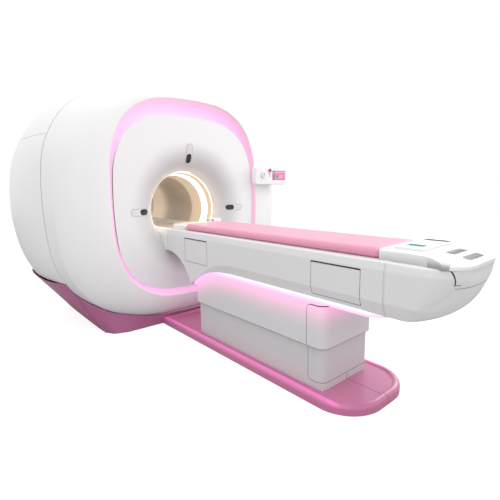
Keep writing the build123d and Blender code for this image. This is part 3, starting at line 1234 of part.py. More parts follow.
def build():
    os.makedirs("parts", exist_ok=True)
    front_fill = front_body(6.0)
    put(front_cover(), "front_cover")
    put(halo_diffuser(), "halo_diffuser")
    left, right, top, rear = shell_covers()
    put(left, "side_cover_left")
    put(right, "side_cover_right")
    put(top, "top_cover")
    put(rear, "rear_cover")
    put(seam_trim(), "seam_trim")
    put(face_panel(), "face_panel")
    put(group(laser_bezels()), "laser_bezels")
    put(group(laser_windows()), "laser_windows")
    funnel_r = TRUMPET_END_R - RING_TAPER
    put(bore_cone(TRUMPET_END_R, funnel_r, TRUMPET_END_Y, RING_END_Y, TRIM_WALL), "bore_ring_outer")
    put(bore_cone(funnel_r, WIDE_RING_OUT_R, RING_END_Y, FUNNEL_END_Y, TRIM_WALL), "front_funnel")
    put(bore_cone(WIDE_RING_OUT_R, WIDE_RING_IN_R, FUNNEL_END_Y, WIDE_RING_END_Y, TRIM_WALL), "bore_ring_inner")
    put(bore_liner(), "bore_liner")
    put(rear_funnel(), "rear_funnel")
    put(vacuum_vessel(), "vacuum_vessel")
    put(helium_vessel(), "helium_vessel")
    put(group(main_coils()), "main_coils")
    put(gradient_coil(), "gradient_coil")
    put(body_coil(), "body_coil")
    put(cold_head(), "cold_head")
    skirt_front, skirt_left, skirt_right = base_skirts(front_fill)
    put(skirt_front, "base_skirt_front")
    put(skirt_left, "base_skirt_left")
    put(skirt_right, "base_skirt_right")
    put(group(magnet_feet()), "magnet_feet")
    tray_left, tray_right = floor_trays()
    put(tray_left, "floor_tray_left")
    put(tray_right, "floor_tray_right")
    lower, lower_end = pedestal_lower()
    put(lower, "pedestal_lower_cover")
    put(lower_end, "lower_end_cover")
    upper, upper_end = pedestal_upper()
    put(upper, "pedestal_upper_cover")
    put(upper_end, "upper_end_cover")
    outer, middles, inner = lift_columns()
    put(outer, "lift_column_outer")
    put(group(middles), "lift_column_middle")
    put(inner, "lift_column_inner")
    put(lift_motor(), "lift_motor")
    body = table_body(0)
    skin = table_body(HATCH_WALL + 0.5)
    fairing_left, fairing_right = fairings(body, skin)
    put(fairing_left, "fairing_left")
    put(fairing_right, "fairing_right")
    for node, flap in hatches(body, table_body(HATCH_WALL)).items():
        put(flap, node)
    shell, apron = nose()
    put(shell, "nose_shell")
    put(apron, "nose_front_panel")
    put(under_light(), "under_light_diffuser")
    put(table_frame(), "table_frame")
    put(drive_motor(), "drive_motor")
    put(pulley(DRIVE_Y), "drive_pulley")
    put(pulley(IDLER_Y), "idler_pulley")
    put(drive_belt(), "drive_belt")
    put(cradle_board(), "cradle_board")
    put(mattress(), "mattress")
    put(head_end_cap(), "head_end_cap")
    put(foot_end_cap(), "foot_end_cap")
    put(coil_port_deck(), "coil_port_deck")
    put(table_dock(), "table_dock")
    put(bore_bridge(), "bore_bridge")
    put(display_housing(front_body(0.3)), "display_housing")
    put(display_screen(), "display_screen")
    put(emergency_stop(), "emergency_stop")
    put(display_knob(), "display_knob")


build()
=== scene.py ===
import math

import bpy
import numpy as np
from mathutils import Matrix, Vector


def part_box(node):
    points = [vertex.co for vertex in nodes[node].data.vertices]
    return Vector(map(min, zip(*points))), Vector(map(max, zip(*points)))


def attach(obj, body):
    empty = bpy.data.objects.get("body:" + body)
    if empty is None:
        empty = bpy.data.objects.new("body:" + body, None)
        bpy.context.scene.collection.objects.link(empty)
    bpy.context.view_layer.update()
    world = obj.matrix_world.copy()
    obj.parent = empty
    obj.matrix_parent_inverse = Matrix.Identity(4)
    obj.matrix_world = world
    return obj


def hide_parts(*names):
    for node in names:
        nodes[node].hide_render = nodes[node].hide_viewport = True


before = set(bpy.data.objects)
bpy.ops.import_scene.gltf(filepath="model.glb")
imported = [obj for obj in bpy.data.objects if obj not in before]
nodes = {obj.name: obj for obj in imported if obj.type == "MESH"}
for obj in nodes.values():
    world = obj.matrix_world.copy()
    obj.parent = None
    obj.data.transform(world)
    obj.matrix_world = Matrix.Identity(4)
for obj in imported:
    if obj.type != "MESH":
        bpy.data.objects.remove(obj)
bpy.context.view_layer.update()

# The scanner room's studio: white walls, a camera at the standing height of someone at
# the foot of the table's left side, and soft lamps above, at the right and by the camera.
studio = bpy.context.scene
studio.view_settings.view_transform = "Standard"
studio.view_settings.look = "None"

VIEW_YAW = math.radians(40.6703)
VIEW_DROP = math.radians(9.6572)
VIEW_ROLL = math.radians(-0.8181)
FOCAL_PIXELS, PICTURE_PIXELS, SENSOR_WIDTH = 375.2, 500, 36.0
level_reach = math.cos(VIEW_DROP)
ahead = Vector((math.sin(VIEW_YAW) * level_reach, math.cos(VIEW_YAW) * level_reach, -math.sin(VIEW_DROP)))
level_right = Vector((math.cos(VIEW_YAW), -math.sin(VIEW_YAW), 0.0))
level_up = level_right.cross(ahead)
right = level_right * math.cos(VIEW_ROLL) + level_up * math.sin(VIEW_ROLL)
up = level_up * math.cos(VIEW_ROLL) - level_right * math.sin(VIEW_ROLL)
camera_turn = Matrix((right, up, -ahead)).transposed().to_4x4()
camera = bpy.data.objects.new("studio_camera", bpy.data.cameras.new("studio_camera"))
camera.matrix_world = Matrix.Translation((-1.806, -2.5445, 1.2013)) @ camera_turn
camera.data.sensor_width = SENSOR_WIDTH
camera.data.lens = FOCAL_PIXELS / PICTURE_PIXELS * SENSOR_WIDTH
camera.data.clip_end = 60.0
studio.collection.objects.link(camera)
studio.camera = camera

sky = bpy.data.worlds.new("white_room")
studio.world = sky
sky.use_nodes = True
sky.node_tree.nodes["Background"].inputs["Color"].default_value = (1.0, 1.0, 1.0, 1.0)
sky.node_tree.nodes["Background"].inputs["Strength"].default_value = 1.0


def lamp(name, place, aim, width, height, power):
    """Rectangular soft lamp at a place, turned to face a point."""
    light = bpy.data.lights.new(name, "AREA")
    light.shape = "RECTANGLE"
    light.size = width
    light.size_y = height
    light.energy = power
    obj = bpy.data.objects.new(name, light)
    obj.location = place
    obj.rotation_mode = "QUATERNION"
    obj.rotation_quaternion = (Vector(aim) - Vector(place)).to_track_quat("-Z", "Y")
    studio.collection.objects.link(obj)


lamp("ceiling_lamp", (0.6, -1.2, 5.2), (0.1, -0.1, 0.8), 4.5, 4.5, 75.0)
lamp("right_lamp", (4.6, -0.9, 2.9), (0.5, 0.3, 1.3), 2.6, 2.6, 60.0)
lamp("near_strip", (-3.4, -4.4, 1.7), (-0.4, -1.3, 0.7), 0.5, 2.6, 9.0)

# Studio floor: one pale sheet that throws back about half of the light that falls on it, and
# glows for the camera alone, so that its far edge is lost in the white of the room.


def new_material(name, colour, roughness):
    """Material with one Principled shader: returns the material, its node tree and its shader."""
    material = bpy.data.materials.new(name)
    material.use_nodes = True
    shader = material.node_tree.nodes["Principled BSDF"]
    shader.inputs["Base Color"].default_value = (*colour, 1.0)
    shader.inputs["Roughness"].default_value = roughness
    return material, material.node_tree, shader


def sheet_mesh(name, points, round_u=False, round_v=False):
    """Mesh of a grid of points, shape (rows, columns, 3), its rows or columns joined up if round."""
    rows, columns = points.shape[:2]
    u = np.arange(rows if round_u else rows - 1)
    v = np.arange(columns if round_v else columns - 1)
    a, b = (grid.ravel() for grid in np.meshgrid(u, v, indexing="ij"))
    next_a, next_b = (a + 1) % rows, (b + 1) % columns
    ring = ((a, b), (next_a, b), (next_a, next_b), (a, next_b))
    corners = np.stack([row * columns + column for row, column in ring], axis=1)
    mesh = bpy.data.meshes.new(name)
    mesh.from_pydata(points.reshape(-1, 3).tolist(), [], corners.tolist())
    mesh.polygons.foreach_set("use_smooth", np.ones(len(corners), dtype=bool))
    return mesh


FLOOR_HALF, FLOOR_DROP = 14.0, -0.0015
edge = np.linspace(-FLOOR_HALF, FLOOR_HALF, 9)
floor_y, floor_x = np.meshgrid(edge, edge, indexing="ij")
floor_points = np.stack([floor_x, -floor_y, np.full_like(floor_x, FLOOR_DROP)], axis=-1)
floor = bpy.data.objects.new("studio_floor", sheet_mesh("studio_floor", floor_points))
studio.collection.objects.link(floor)
floor_paint, tree, shader = new_material("white_floor", (0.42, 0.42, 0.42), 0.7)
shader.inputs["Emission Color"].default_value = (1.0, 1.0, 1.0, 1.0)
sight = tree.nodes.new("ShaderNodeLightPath")
lift = tree.nodes.new("ShaderNodeMath")
lift.operation = "MULTIPLY"
lift.inputs[1].default_value = 0.8
tree.links.new(sight.outputs["Is Camera Ray"], lift.inputs[0])
tree.links.new(lift.outputs[0], shader.inputs["Emission Strength"])
floor.data.materials.append(floor_paint)

# Outer covers of the gantry: moulded glass-fibre shells with a satin gel coat, faintly
# uneven from the mould, fixed with hidden screws along their butted seams.


def work(tree, operation, *values):
    """One Math node on sockets or plain numbers: returns its output."""
    step = tree.nodes.new("ShaderNodeMath")
    step.operation = operation
    for i, value in enumerate(values):
        if isinstance(value, (int, float)):
            step.inputs[i].default_value = value
        else:
            tree.links.new(value, step.inputs[i])
    return step.outputs[0]


def new_group(name, floats, colours=(), results=("Mask",)):
    """Empty shader group with named number and colour inputs and named results."""
    tree = bpy.data.node_groups.new(name, "ShaderNodeTree")
    for word in colours:
        tree.interface.new_socket(word, in_out="INPUT", socket_type="NodeSocketColor")
    for word in floats:
        tree.interface.new_socket(word, in_out="INPUT", socket_type="NodeSocketFloat")
    kinds = {"Colour": "NodeSocketColor", "Normal": "NodeSocketVector"}
    for word in results:
        tree.interface.new_socket(word, in_out="OUTPUT", socket_type=kinds.get(word, "NodeSocketFloat"))
    return tree, tree.nodes.new("NodeGroupInput").outputs, tree.nodes.new("NodeGroupOutput").inputs


def use_group(tree, name, **values):
    """Places a group in a material; numbers, colours or sockets go to its inputs by name."""
    placed = tree.nodes.new("ShaderNodeGroup")
    placed.node_tree = bpy.data.node_groups[name]
    for word, value in values.items():
        socket = placed.inputs[word.replace("_", " ")]
        if isinstance(value, bpy.types.NodeSocket):
            tree.links.new(value, socket)
        else:
            socket.default_value = value
    return placed.outputs


def dress(material, *names):
    """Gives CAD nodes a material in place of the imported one."""
    for name in names:
        nodes[name].data.materials.clear()
        nodes[name].data.materials.append(material)


skin_tree, given, result = new_group(
    "moulded_skin", ("Drift", "Gloss", "Peel"), ("Colour",), ("Colour", "Roughness", "Normal"))
skin_place = skin_tree.nodes.new("ShaderNodeTexCoord")
slow = skin_tree.nodes.new("ShaderNodeTexNoise")
fine = skin_tree.nodes.new("ShaderNodeTexNoise")
for noise, scale, detail in ((slow, 2.4, 2.0), (fine, 420.0, 1.0)):
    noise.inputs["Scale"].default_value = scale
    noise.inputs["Detail"].default_value = detail
    skin_tree.links.new(skin_place.outputs["Object"], noise.inputs["Vector"])
shade = skin_tree.nodes.new("ShaderNodeVectorMath")
shade.operation = "SCALE"
drifted = work(skin_tree, "MULTIPLY_ADD", slow.outputs["Fac"], given["Drift"], 1.0)
dulled = work(skin_tree, "MULTIPLY_ADD", slow.outputs["Fac"], 0.08, given["Gloss"])
skin_tree.links.new(given["Colour"], shade.inputs[0])
skin_tree.links.new(drifted, shade.inputs["Scale"])
skin_tree.links.new(shade.outputs[0], result["Colour"])
skin_tree.links.new(dulled, result["Roughness"])
relief = skin_tree.nodes.new("ShaderNodeBump")
relief.inputs["Distance"].default_value = 0.0004
skin_tree.links.new(given["Peel"], relief.inputs["Strength"])
skin_tree.links.new(fine.outputs["Fac"], relief.inputs["Height"])
skin_tree.links.new(relief.outputs["Normal"], result["Normal"])


def moulded(name, colour, gloss, drift=-0.03, peel=0.15):
    """Moulded plastic of one colour: returns material, tree, shader and the skin's colour socket."""
    material, tree, shader = new_material(name, colour, gloss)
    skin = use_group(tree, "moulded_skin", Colour=(*colour, 1.0), Drift=drift, Gloss=gloss, Peel=peel)
    tree.links.new(skin["Colour"], shader.inputs["Base Color"])
    tree.links.new(skin["Roughness"], shader.inputs["Roughness"])
    tree.links.new(skin["Normal"], shader.inputs["Normal"])
    return material, tree, shader, skin["Colour"]


gel_coat, _, shader, _ = moulded("white_gel_coat", (0.93, 0.93, 0.933), 0.34)
shader.inputs["Coat Weight"].default_value = 0.15
shader.inputs["Coat Roughness"].default_value = 0.2
dress(gel_coat, "front_cover", "side_cover_left", "side_cover_right", "top_cover", "rear_cover")
dress(gel_coat, "table_dock", "bore_bridge")

# Trim ring in the seam behind the front cover: a dark rubber profile, pressed in so that it
# fills the gap between the front cover and the covers behind it.
seam_rubber = moulded("seam_rubber", (0.04, 0.04, 0.045), 0.6)[0]
dress(seam_rubber, "seam_trim")

# Face panel with the bore's trumpet: the same gel coat, greyed by painted shade down in the trumpet. The ring of
# light at the mouth is painted on as emission: a fine line along the panel's lip, widest at its left, and a faint
# warm spill round the mouth.


def place_of(tree):
    """Object coordinates as three separate sockets."""
    place = tree.nodes.new("ShaderNodeTexCoord")
    split = tree.nodes.new("ShaderNodeSeparateXYZ")
    tree.links.new(place.outputs["Object"], split.inputs[0])
    return split.outputs[:]


def length_of(tree, a, b):
    """Length of the vector (a, b)."""
    squares = [work(tree, "MULTIPLY", part, part) for part in (a, b)]
    return work(tree, "SQRT", work(tree, "ADD", *squares))


def rise(tree, value, low, high):
    """Smooth rise of a value from zero at low to one at high."""
    step = tree.nodes.new("ShaderNodeMapRange")
    step.interpolation_type = "SMOOTHSTEP"
    step.inputs["From Min"].default_value = low
    step.inputs["From Max"].default_value = high
    tree.links.new(value, step.inputs["Value"])
    return step.outputs[0]


def product(tree, *values):
    """All the values multiplied: where they are masks, one where each of them is one."""
    total = values[0]
    for value in values[1:]:
        total = work(tree, "MULTIPLY", total, value)
    return total


def blend_colour(tree, mask, under, over):
    """Colour under, turned to colour over where the mask is one."""
    mix = tree.nodes.new("ShaderNodeMix")
    mix.data_type = "RGBA"
    for socket, value in ((mix.inputs[0], mask), (mix.inputs[6], under), (mix.inputs[7], over)):
        if isinstance(value, bpy.types.NodeSocket):
            tree.links.new(value, socket)
        elif isinstance(value, (int, float)):
            socket.default_value = value
        else:
            socket.default_value = (*value, 1.0)
    return mix.outputs[2]


BLACK = (0.0, 0.0, 0.0)
BORE_Z, MOUTH_R = 1.002, 0.337
SHADE_START_R, SHADE_FULL_R, PAINTED_SHADE_DEPTH = 0.60, 0.37, 0.85
LIP_WIDE, LIP_LEFT_X, LIP_LEFT_WIDER, LIP_FOOT, LIP_RIGHT_X = 0.0025, -0.34, 0.016, -0.15, 0.08
SPILL_WIDE, SPILL_LIGHT = 0.09, 0.10
face_coat, tree, shader, colour = moulded("face_gel_coat", (0.91, 0.92, 0.92), 0.36)
x, _, z = place_of(tree)
above = work(tree, "SUBTRACT", z, BORE_Z)
radius = length_of(tree, x, above)
# Painted shade: the panel greys towards the bore, down in the trumpet.
painted_shade = work(tree, "MULTIPLY", rise(tree, radius, SHADE_START_R, SHADE_FULL_R), PAINTED_SHADE_DEPTH)
tree.links.new(blend_colour(tree, painted_shade, colour, (0.55, 0.555, 0.56)), shader.inputs["Base Color"])
# Painted light: a warm line along the lip and a faint glow spilling round the mouth, given as emission.
leftness = work(tree, "MAXIMUM", work(tree, "DIVIDE", x, LIP_LEFT_X), 0.0)
lip_r = work(tree, "MULTIPLY_ADD", work(tree, "POWER", leftness, 2.0), LIP_LEFT_WIDER, MOUTH_R + LIP_WIDE)
lip = product(tree, work(tree, "LESS_THAN", radius, lip_r),
              work(tree, "GREATER_THAN", above, LIP_FOOT), work(tree, "LESS_THAN", x, LIP_RIGHT_X))
off_mouth = work(tree, "DIVIDE", work(tree, "SUBTRACT", radius, MOUTH_R), SPILL_WIDE)
spill = work(tree, "POWER", work(tree, "MAXIMUM", work(tree, "SUBTRACT", 1.0, off_mouth), 0.0), 2.0)
lit = work(tree, "MAXIMUM", lip, work(tree, "MULTIPLY", spill, SPILL_LIGHT))
tree.links.new(blend_colour(tree, lit, BLACK, (1.0, 0.82, 0.60)), shader.inputs["Emission Color"])
shader.inputs["Emission Strength"].default_value = 1.0
dress(face_coat, "face_panel")

# Lit band round the face: a milky acrylic diffuser with lamps behind it, dusty pink at the
# lip and palest where it dives under the panel's edge. It is dimmer towards the display.


def glow_ramp(tree, value, low, high, colours):
    """Colour that follows a value between two places through evenly spaced stops."""
    part = tree.nodes.new("ShaderNodeMapRange")
    part.inputs["From Min"].default_value = low
    part.inputs["From Max"].default_value = high
    tree.links.new(value, part.inputs["Value"])
    ramp = tree.nodes.new("ShaderNodeValToRGB")
    ramp.color_ramp.elements[0].color = (*colours[0], 1.0)
    ramp.color_ramp.elements[-1].color = (*colours[-1], 1.0)
    for i, stop_colour in enumerate(colours[1:-1], start=1):
        ramp.color_ramp.elements.new(i / (len(colours) - 1)).color = (*stop_colour, 1.0)
    tree.links.new(part.outputs[0], ramp.inputs["Fac"])
    return ramp.outputs["Color"]


HALO_COLOURS = ((0.84, 0.50, 0.63), (0.98, 0.48, 0.76), (1.0, 0.54, 0.96), (1.0, 0.64, 0.98), (1.0, 0.92, 1.0))
DIM_PER_METRE, DIM_AT_MIDDLE = 0.55, 0.12
halo, tree, shader = new_material("halo_acrylic", (0.75, 0.55, 0.68), 0.35)
x, y, _ = place_of(tree)
halo_low, halo_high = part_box("halo_diffuser")
colour = glow_ramp(tree, y, halo_low.y, halo_high.y, HALO_COLOURS)
dim = work(tree, "MAXIMUM", work(tree, "MULTIPLY_ADD", x, DIM_PER_METRE, DIM_AT_MIDDLE), 0.0)
dim = work(tree, "MINIMUM", dim, 1.0)
tree.links.new(blend_colour(tree, dim, colour, (0.10, 0.06, 0.08)), shader.inputs["Emission Color"])
tree.links.new(blend_colour(tree, 0.25, colour, (0.5, 0.5, 0.5)), shader.inputs["Base Color"])
shader.inputs["Emission Strength"].default_value = 0.47
dress(halo, "halo_diffuser")

# Inside of the bore: a gloss-coated cream liner. The light of two rings of warm white acrylic on it is
# painted in as emission, and this painted wash ends in a step a hand's length behind the wide ring.
PAINTED_LINER_LIGHT = ((0.01, 0.008, 0.005), (0.0, 0.0, 0.0), (0.01, 0.008, 0.005), (0.06, 0.045, 0.03), (0.34, 0.26, 0.17))
WASH_LENGTH, DEEP_LENGTH = 0.17, 0.80
cream, tree, shader, _ = moulded("bore_cream", (0.52, 0.45, 0.38), 0.28)
_, y, _ = place_of(tree)
_, ring_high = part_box("bore_ring_inner")
# Painted light: the rings' wash on the liner, then a dim glow deeper in, given as emission.
wash_end_y = ring_high.y + WASH_LENGTH
deep_light = glow_ramp(tree, y, wash_end_y, ring_high.y + DEEP_LENGTH, PAINTED_LINER_LIGHT)
washed = work(tree, "LESS_THAN", y, wash_end_y)
tree.links.new(blend_colour(tree, washed, deep_light, (0.26, 0.20, 0.14)), shader.inputs["Emission Color"])
shader.inputs["Emission Strength"].default_value = 1.0
dress(cream, "bore_liner", "front_funnel")
warm_ring, _, shader, _ = moulded("warm_ring", (0.9, 0.85, 0.75), 0.3)
shader.inputs["Emission Color"].default_value = (1.0, 0.78, 0.52, 1.0)
shader.inputs["Emission Strength"].default_value = 2.6
dress(warm_ring, "bore_ring_outer")
white_ring, _, shader, _ = moulded("white_ring", (0.95, 0.92, 0.88), 0.3)
shader.inputs["Emission Color"].default_value = (1.0, 0.86, 0.66, 1.0)
shader.inputs["Emission Strength"].default_value = 3.0
dress(white_ring, "bore_ring_inner")

# Rear funnel: the moulded shell at the bore's far end, in a paler coat of the same cream,
# without lamps of its own.
rear_cream = moulded("rear_cream", (0.66, 0.58, 0.49), 0.30)[0]
dress(rear_cream, "rear_funnel")

# Light bead at the trumpet's mouth: a thin acrylic rod bent round the bore, pressed into the
# step between panel and ring, its two ends let into the table's dock.


def add_piece(name, mesh, material, body):
    """Puts a finished piece in the scene, on the body that carries it."""
    mesh.materials.append(material)
    piece = bpy.data.objects.new(name, mesh)
    studio.collection.objects.link(piece)
    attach(piece, body)
    return piece


def mouth_bead(ring_r, rod_r, bead_y, start, end):
    """Rod along a circle about the bore's axis: centre line at ring_r, round section rod_r."""
    along = np.radians(np.linspace(start, end, 121))[:, None]
    around = np.linspace(0, 2 * np.pi, 12, endpoint=False)[None, ::-1]
    thick = np.full((121, 1), rod_r)
    thick[[0, -1]] = rod_r * 0.02
    reach = ring_r + thick * np.cos(around)
    y = bead_y + thick * np.sin(around)
    points = np.stack([reach * np.cos(along), y, BORE_Z + reach * np.sin(along)], axis=-1)
    return sheet_mesh("mouth_bead", points, round_v=True)


bead_mesh = mouth_bead(ring_r=MOUTH_R + 0.0005, rod_r=0.0032, bead_y=0.5005, start=-27.5, end=207.5)
add_piece("mouth_bead", bead_mesh, warm_ring, "gantry")

# Laser windows: pills of smoked glass in white moulded bezels, three of them in the face
# panel's trumpet. Each bezel has a fine shadow gap round its edge, where it meets the panel.
BEZEL_MID_R, BEZEL_STRAIGHT, BEZEL_EDGE = 0.4825, 0.0585, 0.0268
bezel, tree, shader, colour = moulded("bezel_white", (0.80, 0.80, 0.805), 0.3)
x, _, z = place_of(tree)
out, above = work(tree, "ABSOLUTE", x), work(tree, "SUBTRACT", z, BORE_Z)
along = work(tree, "ABSOLUTE", work(tree, "SUBTRACT", work(tree, "MAXIMUM", out, above), BEZEL_MID_R))
past = work(tree, "MAXIMUM", work(tree, "SUBTRACT", along, BEZEL_STRAIGHT), 0.0)
across = work(tree, "MINIMUM", out, work(tree, "ABSOLUTE", above))
rim = work(tree, "GREATER_THAN", length_of(tree, past, across), BEZEL_EDGE)
tree.links.new(blend_colour(tree, rim, colour, (0.30, 0.30, 0.31)), shader.inputs["Base Color"])
dress(bezel, "laser_bezels")
smoked, _, shader, _ = moulded("smoked_glass", (0.012, 0.012, 0.014), 0.1, peel=0.0)
shader.inputs["Coat Weight"].default_value = 0.6
dress(smoked, "laser_windows")

# Base skirts: moulded shells in a magenta gel coat, glossier than the covers. The joint at
# each front corner slants, and two fine lines of painted shade, standing in for grooves, run along it.


def near_to(tree, value, centre, width):
    """Mask that is one where the value lies within width of the centre."""
    return work(tree, "LESS_THAN", work(tree, "ABSOLUTE", work(tree, "SUBTRACT", value, centre)), width)


JOINT_Y, JOINT_LOW_Z, JOINT_SLANT = 0.5505, -0.02, 0.2136
LINE_OFFSET, LINE_HALF = 0.0085, 0.0016
rose, tree, shader, colour = moulded("rose_gel_coat", (0.49, 0.145, 0.30), 0.30)
shader.inputs["Coat Weight"].default_value = 0.3
shader.inputs["Coat Roughness"].default_value = 0.12
_, y, z = place_of(tree)
# Painted shade: two fine dark lines along the slanted joint.
joint_y = work(tree, "MULTIPLY_ADD", z, JOINT_SLANT, JOINT_Y - JOINT_LOW_Z * JOINT_SLANT)
painted_groove_shade = near_to(tree, work(tree, "ABSOLUTE", work(tree, "SUBTRACT", y, joint_y)), LINE_OFFSET, LINE_HALF)
tree.links.new(blend_colour(tree, painted_groove_shade, colour, (0.12, 0.03, 0.07)), shader.inputs["Base Color"])
dress(rose, "base_skirt_front", "base_skirt_left", "base_skirt_right")

# Floor tray: two moulded halves in a lighter pink, joined under the table. The pink of the lamp
# frame above, caught in their glossy rims, is a painted reflection given as emission.
TRAY_RIM_X, TRAY_RIM_WIDE, TRAY_JOINT_HALF = 0.286, 0.024, 0.0014
SHINE_LOW, SHINE_HIGH = 0.030, 0.056
tray_coat, tree, shader, colour = moulded("pink_gel_coat", (0.62, 0.19, 0.36), 0.26)
shader.inputs["Coat Weight"].default_value = 0.5
shader.inputs["Coat Roughness"].default_value = 0.1
x, _, z = place_of(tree)
joint = near_to(tree, x, 0.0, TRAY_JOINT_HALF)
tree.links.new(blend_colour(tree, joint, colour, (0.16, 0.04, 0.09)), shader.inputs["Base Color"])
# Painted reflection: the lamp frame's pink along the rims, given as emission.
from_rim = work(tree, "ABSOLUTE", work(tree, "SUBTRACT", work(tree, "ABSOLUTE", x), TRAY_RIM_X))
shine = product(tree, rise(tree, from_rim, TRAY_RIM_WIDE, 0.0), rise(tree, z, SHINE_LOW, SHINE_HIGH))
tree.links.new(blend_colour(tree, shine, BLACK, (0.42, 0.05, 0.30)), shader.inputs["Emission Color"])
shader.inputs["Emission Strength"].default_value = 1.0
dress(tray_coat, "floor_tray_left", "floor_tray_right")

# Pedestal: painted sheet covers, the upper one sliding down over the lower. Each end cover
# closes on a dark gasket, and the pink light that the lamp frame above throws on the sleeve is painted in as
# emission.
line_tree, given, result = new_group(
    "gasket_line", ("Along", "Up", "Low A", "High A", "Low B", "High B", "Radius", "Width"),
    results=("Mask", "Inside"))
reaches = []
for word, low, high in (("Along", "Low A", "High A"), ("Up", "Low B", "High B")):
    middle = work(line_tree, "MULTIPLY", work(line_tree, "ADD", given[low], given[high]), 0.5)
    half = work(line_tree, "MULTIPLY", work(line_tree, "SUBTRACT", given[high], given[low]), 0.5)
    off = work(line_tree, "ABSOLUTE", work(line_tree, "SUBTRACT", given[word], middle))
    reaches.append(work(line_tree, "ADD", work(line_tree, "SUBTRACT", off, half), given["Radius"]))
corner = length_of(line_tree, *(work(line_tree, "MAXIMUM", reach, 0.0) for reach in reaches))
inner = work(line_tree, "MINIMUM", work(line_tree, "MAXIMUM", *reaches), 0.0)
outline = work(line_tree, "SUBTRACT", work(line_tree, "ADD", corner, inner), given["Radius"])
on_line = work(line_tree, "LESS_THAN", work(line_tree, "ABSOLUTE", outline), given["Width"])
line_tree.links.new(on_line, result["Mask"])
line_tree.links.new(work(line_tree, "LESS_THAN", outline, 0.0), result["Inside"])


def boxed(tree, a, b, span_a, span_b, radius, width=0.001):
    """Rounded box in two coordinates: returns a mask of its outline and one of its inside."""
    return use_group(tree, "gasket_line", Along=a, Up=b, Low_A=span_a[0], High_A=span_a[1],
                     Low_B=span_b[0], High_B=span_b[1], Radius=radius, Width=width)


GASKET = (0.035, 0.035, 0.04)
END_COVER_Y, COVER_CORNER, GASKET_HALF = -1.2122, 0.03, 0.0014
END_COVER_TOP, KICK_TOP, SLEEVE_FOOT = 0.549, 0.0895, 0.3018
TOP_GAP_Z, TOP_GAP_HALF, TOP_GAP_INSET = 0.5495, 0.0032, 0.022
# The end covers' outline runs out past the table's foot end, where nothing is drawn.
COVER_SPAN_Y = (-2.0, END_COVER_Y)
sleeve_paint, tree, shader, colour = moulded("sleeve_paint", (0.74, 0.73, 0.745), 0.36)
_, y, z = place_of(tree)
gap = boxed(tree, y, z, COVER_SPAN_Y, (0.0, END_COVER_TOP), COVER_CORNER, GASKET_HALF)["Mask"]
top_gap = product(tree, near_to(tree, z, TOP_GAP_Z, TOP_GAP_HALF),
                  work(tree, "LESS_THAN", y, END_COVER_Y - TOP_GAP_INSET))
dark = work(tree, "MAXIMUM", work(tree, "MAXIMUM", gap, top_gap), work(tree, "LESS_THAN", z, SLEEVE_FOOT))
tree.links.new(blend_colour(tree, dark, colour, GASKET), shader.inputs["Base Color"])
# The lamp frame is level to ARCH_START_Y, and from there it curves down towards the gantry.
ARCH_START_Y, ARCH_LENGTH, ARCH_DROP, ARCH_POWER, LAMP_Z = -0.5375, 0.502, 0.138, 2.7, 0.568
GLOW_REACH, GLOW_POWER = 0.20, 2.2
# Painted light: pink emission that fades with depth below the lamp frame.
back = work(tree, "MAXIMUM", work(tree, "DIVIDE", work(tree, "ADD", y, -ARCH_START_Y), ARCH_LENGTH), 0.0)
lamp_z = work(tree, "MULTIPLY_ADD", work(tree, "POWER", back, ARCH_POWER), -ARCH_DROP, LAMP_Z)
below = work(tree, "DIVIDE", work(tree, "SUBTRACT", lamp_z, z), GLOW_REACH)
close = work(tree, "MAXIMUM", work(tree, "SUBTRACT", 1.0, below), 0.0)
fall = work(tree, "MINIMUM", work(tree, "POWER", close, GLOW_POWER), 1.0)
lit = work(tree, "MULTIPLY", fall, work(tree, "SUBTRACT", 1.0, dark))
tree.links.new(blend_colour(tree, lit, BLACK, (0.80, 0.08, 0.40)), shader.inputs["Emission Color"])
shader.inputs["Emission Strength"].default_value = 1.0
dress(sleeve_paint, "pedestal_upper_cover", "upper_end_cover")

KICK_SPLIT_HALF = 0.0016
# The lower covers' grey is darker than the sleeve's: painted shade under the table.
lower_paint, tree, shader, colour = moulded("lower_paint", (0.66, 0.655, 0.665), 0.36)
x, y, z = place_of(tree)
gap = boxed(tree, y, z, COVER_SPAN_Y, (KICK_TOP, 1.0), COVER_CORNER, GASKET_HALF)["Mask"]
split = product(tree, near_to(tree, x, 0.0, KICK_SPLIT_HALF), work(tree, "LESS_THAN", z, KICK_TOP))
dark = work(tree, "MAXIMUM", gap, split)
tree.links.new(blend_colour(tree, dark, colour, GASKET), shader.inputs["Base Color"])
dress(lower_paint, "pedestal_lower_cover", "lower_end_cover")

# Lift, frame and drive inside: drawn aluminium tubes and plates, cast motors, turned pulleys
# and a flat rubber belt.
alloy, _, shader, _ = moulded("drawn_alloy", (0.62, 0.63, 0.65), 0.3)
shader.inputs["Metallic"].default_value = 0.9
dress(alloy, "lift_column_outer", "lift_column_middle", "lift_column_inner", "lift_motor")
dress(alloy, "table_frame", "drive_motor", "drive_pulley", "idler_pulley")
belt_rubber = moulded("belt_rubber", (0.03, 0.03, 0.03), 0.7)[0]
dress(belt_rubber, "drive_belt")

# Magnet inside the covers: welded steel vessels on feet, the cold head that cools them, and
# the coils, which are wound and potted in resin.
vessel_steel, _, shader, _ = moulded("vessel_steel", (0.55, 0.56, 0.58), 0.35)
shader.inputs["Metallic"].default_value = 0.9
dress(vessel_steel, "vacuum_vessel", "helium_vessel", "magnet_feet", "cold_head")
winding = moulded("potted_winding", (0.40, 0.26, 0.14), 0.5)[0]
dress(winding, "main_coils", "gradient_coil", "body_coil")

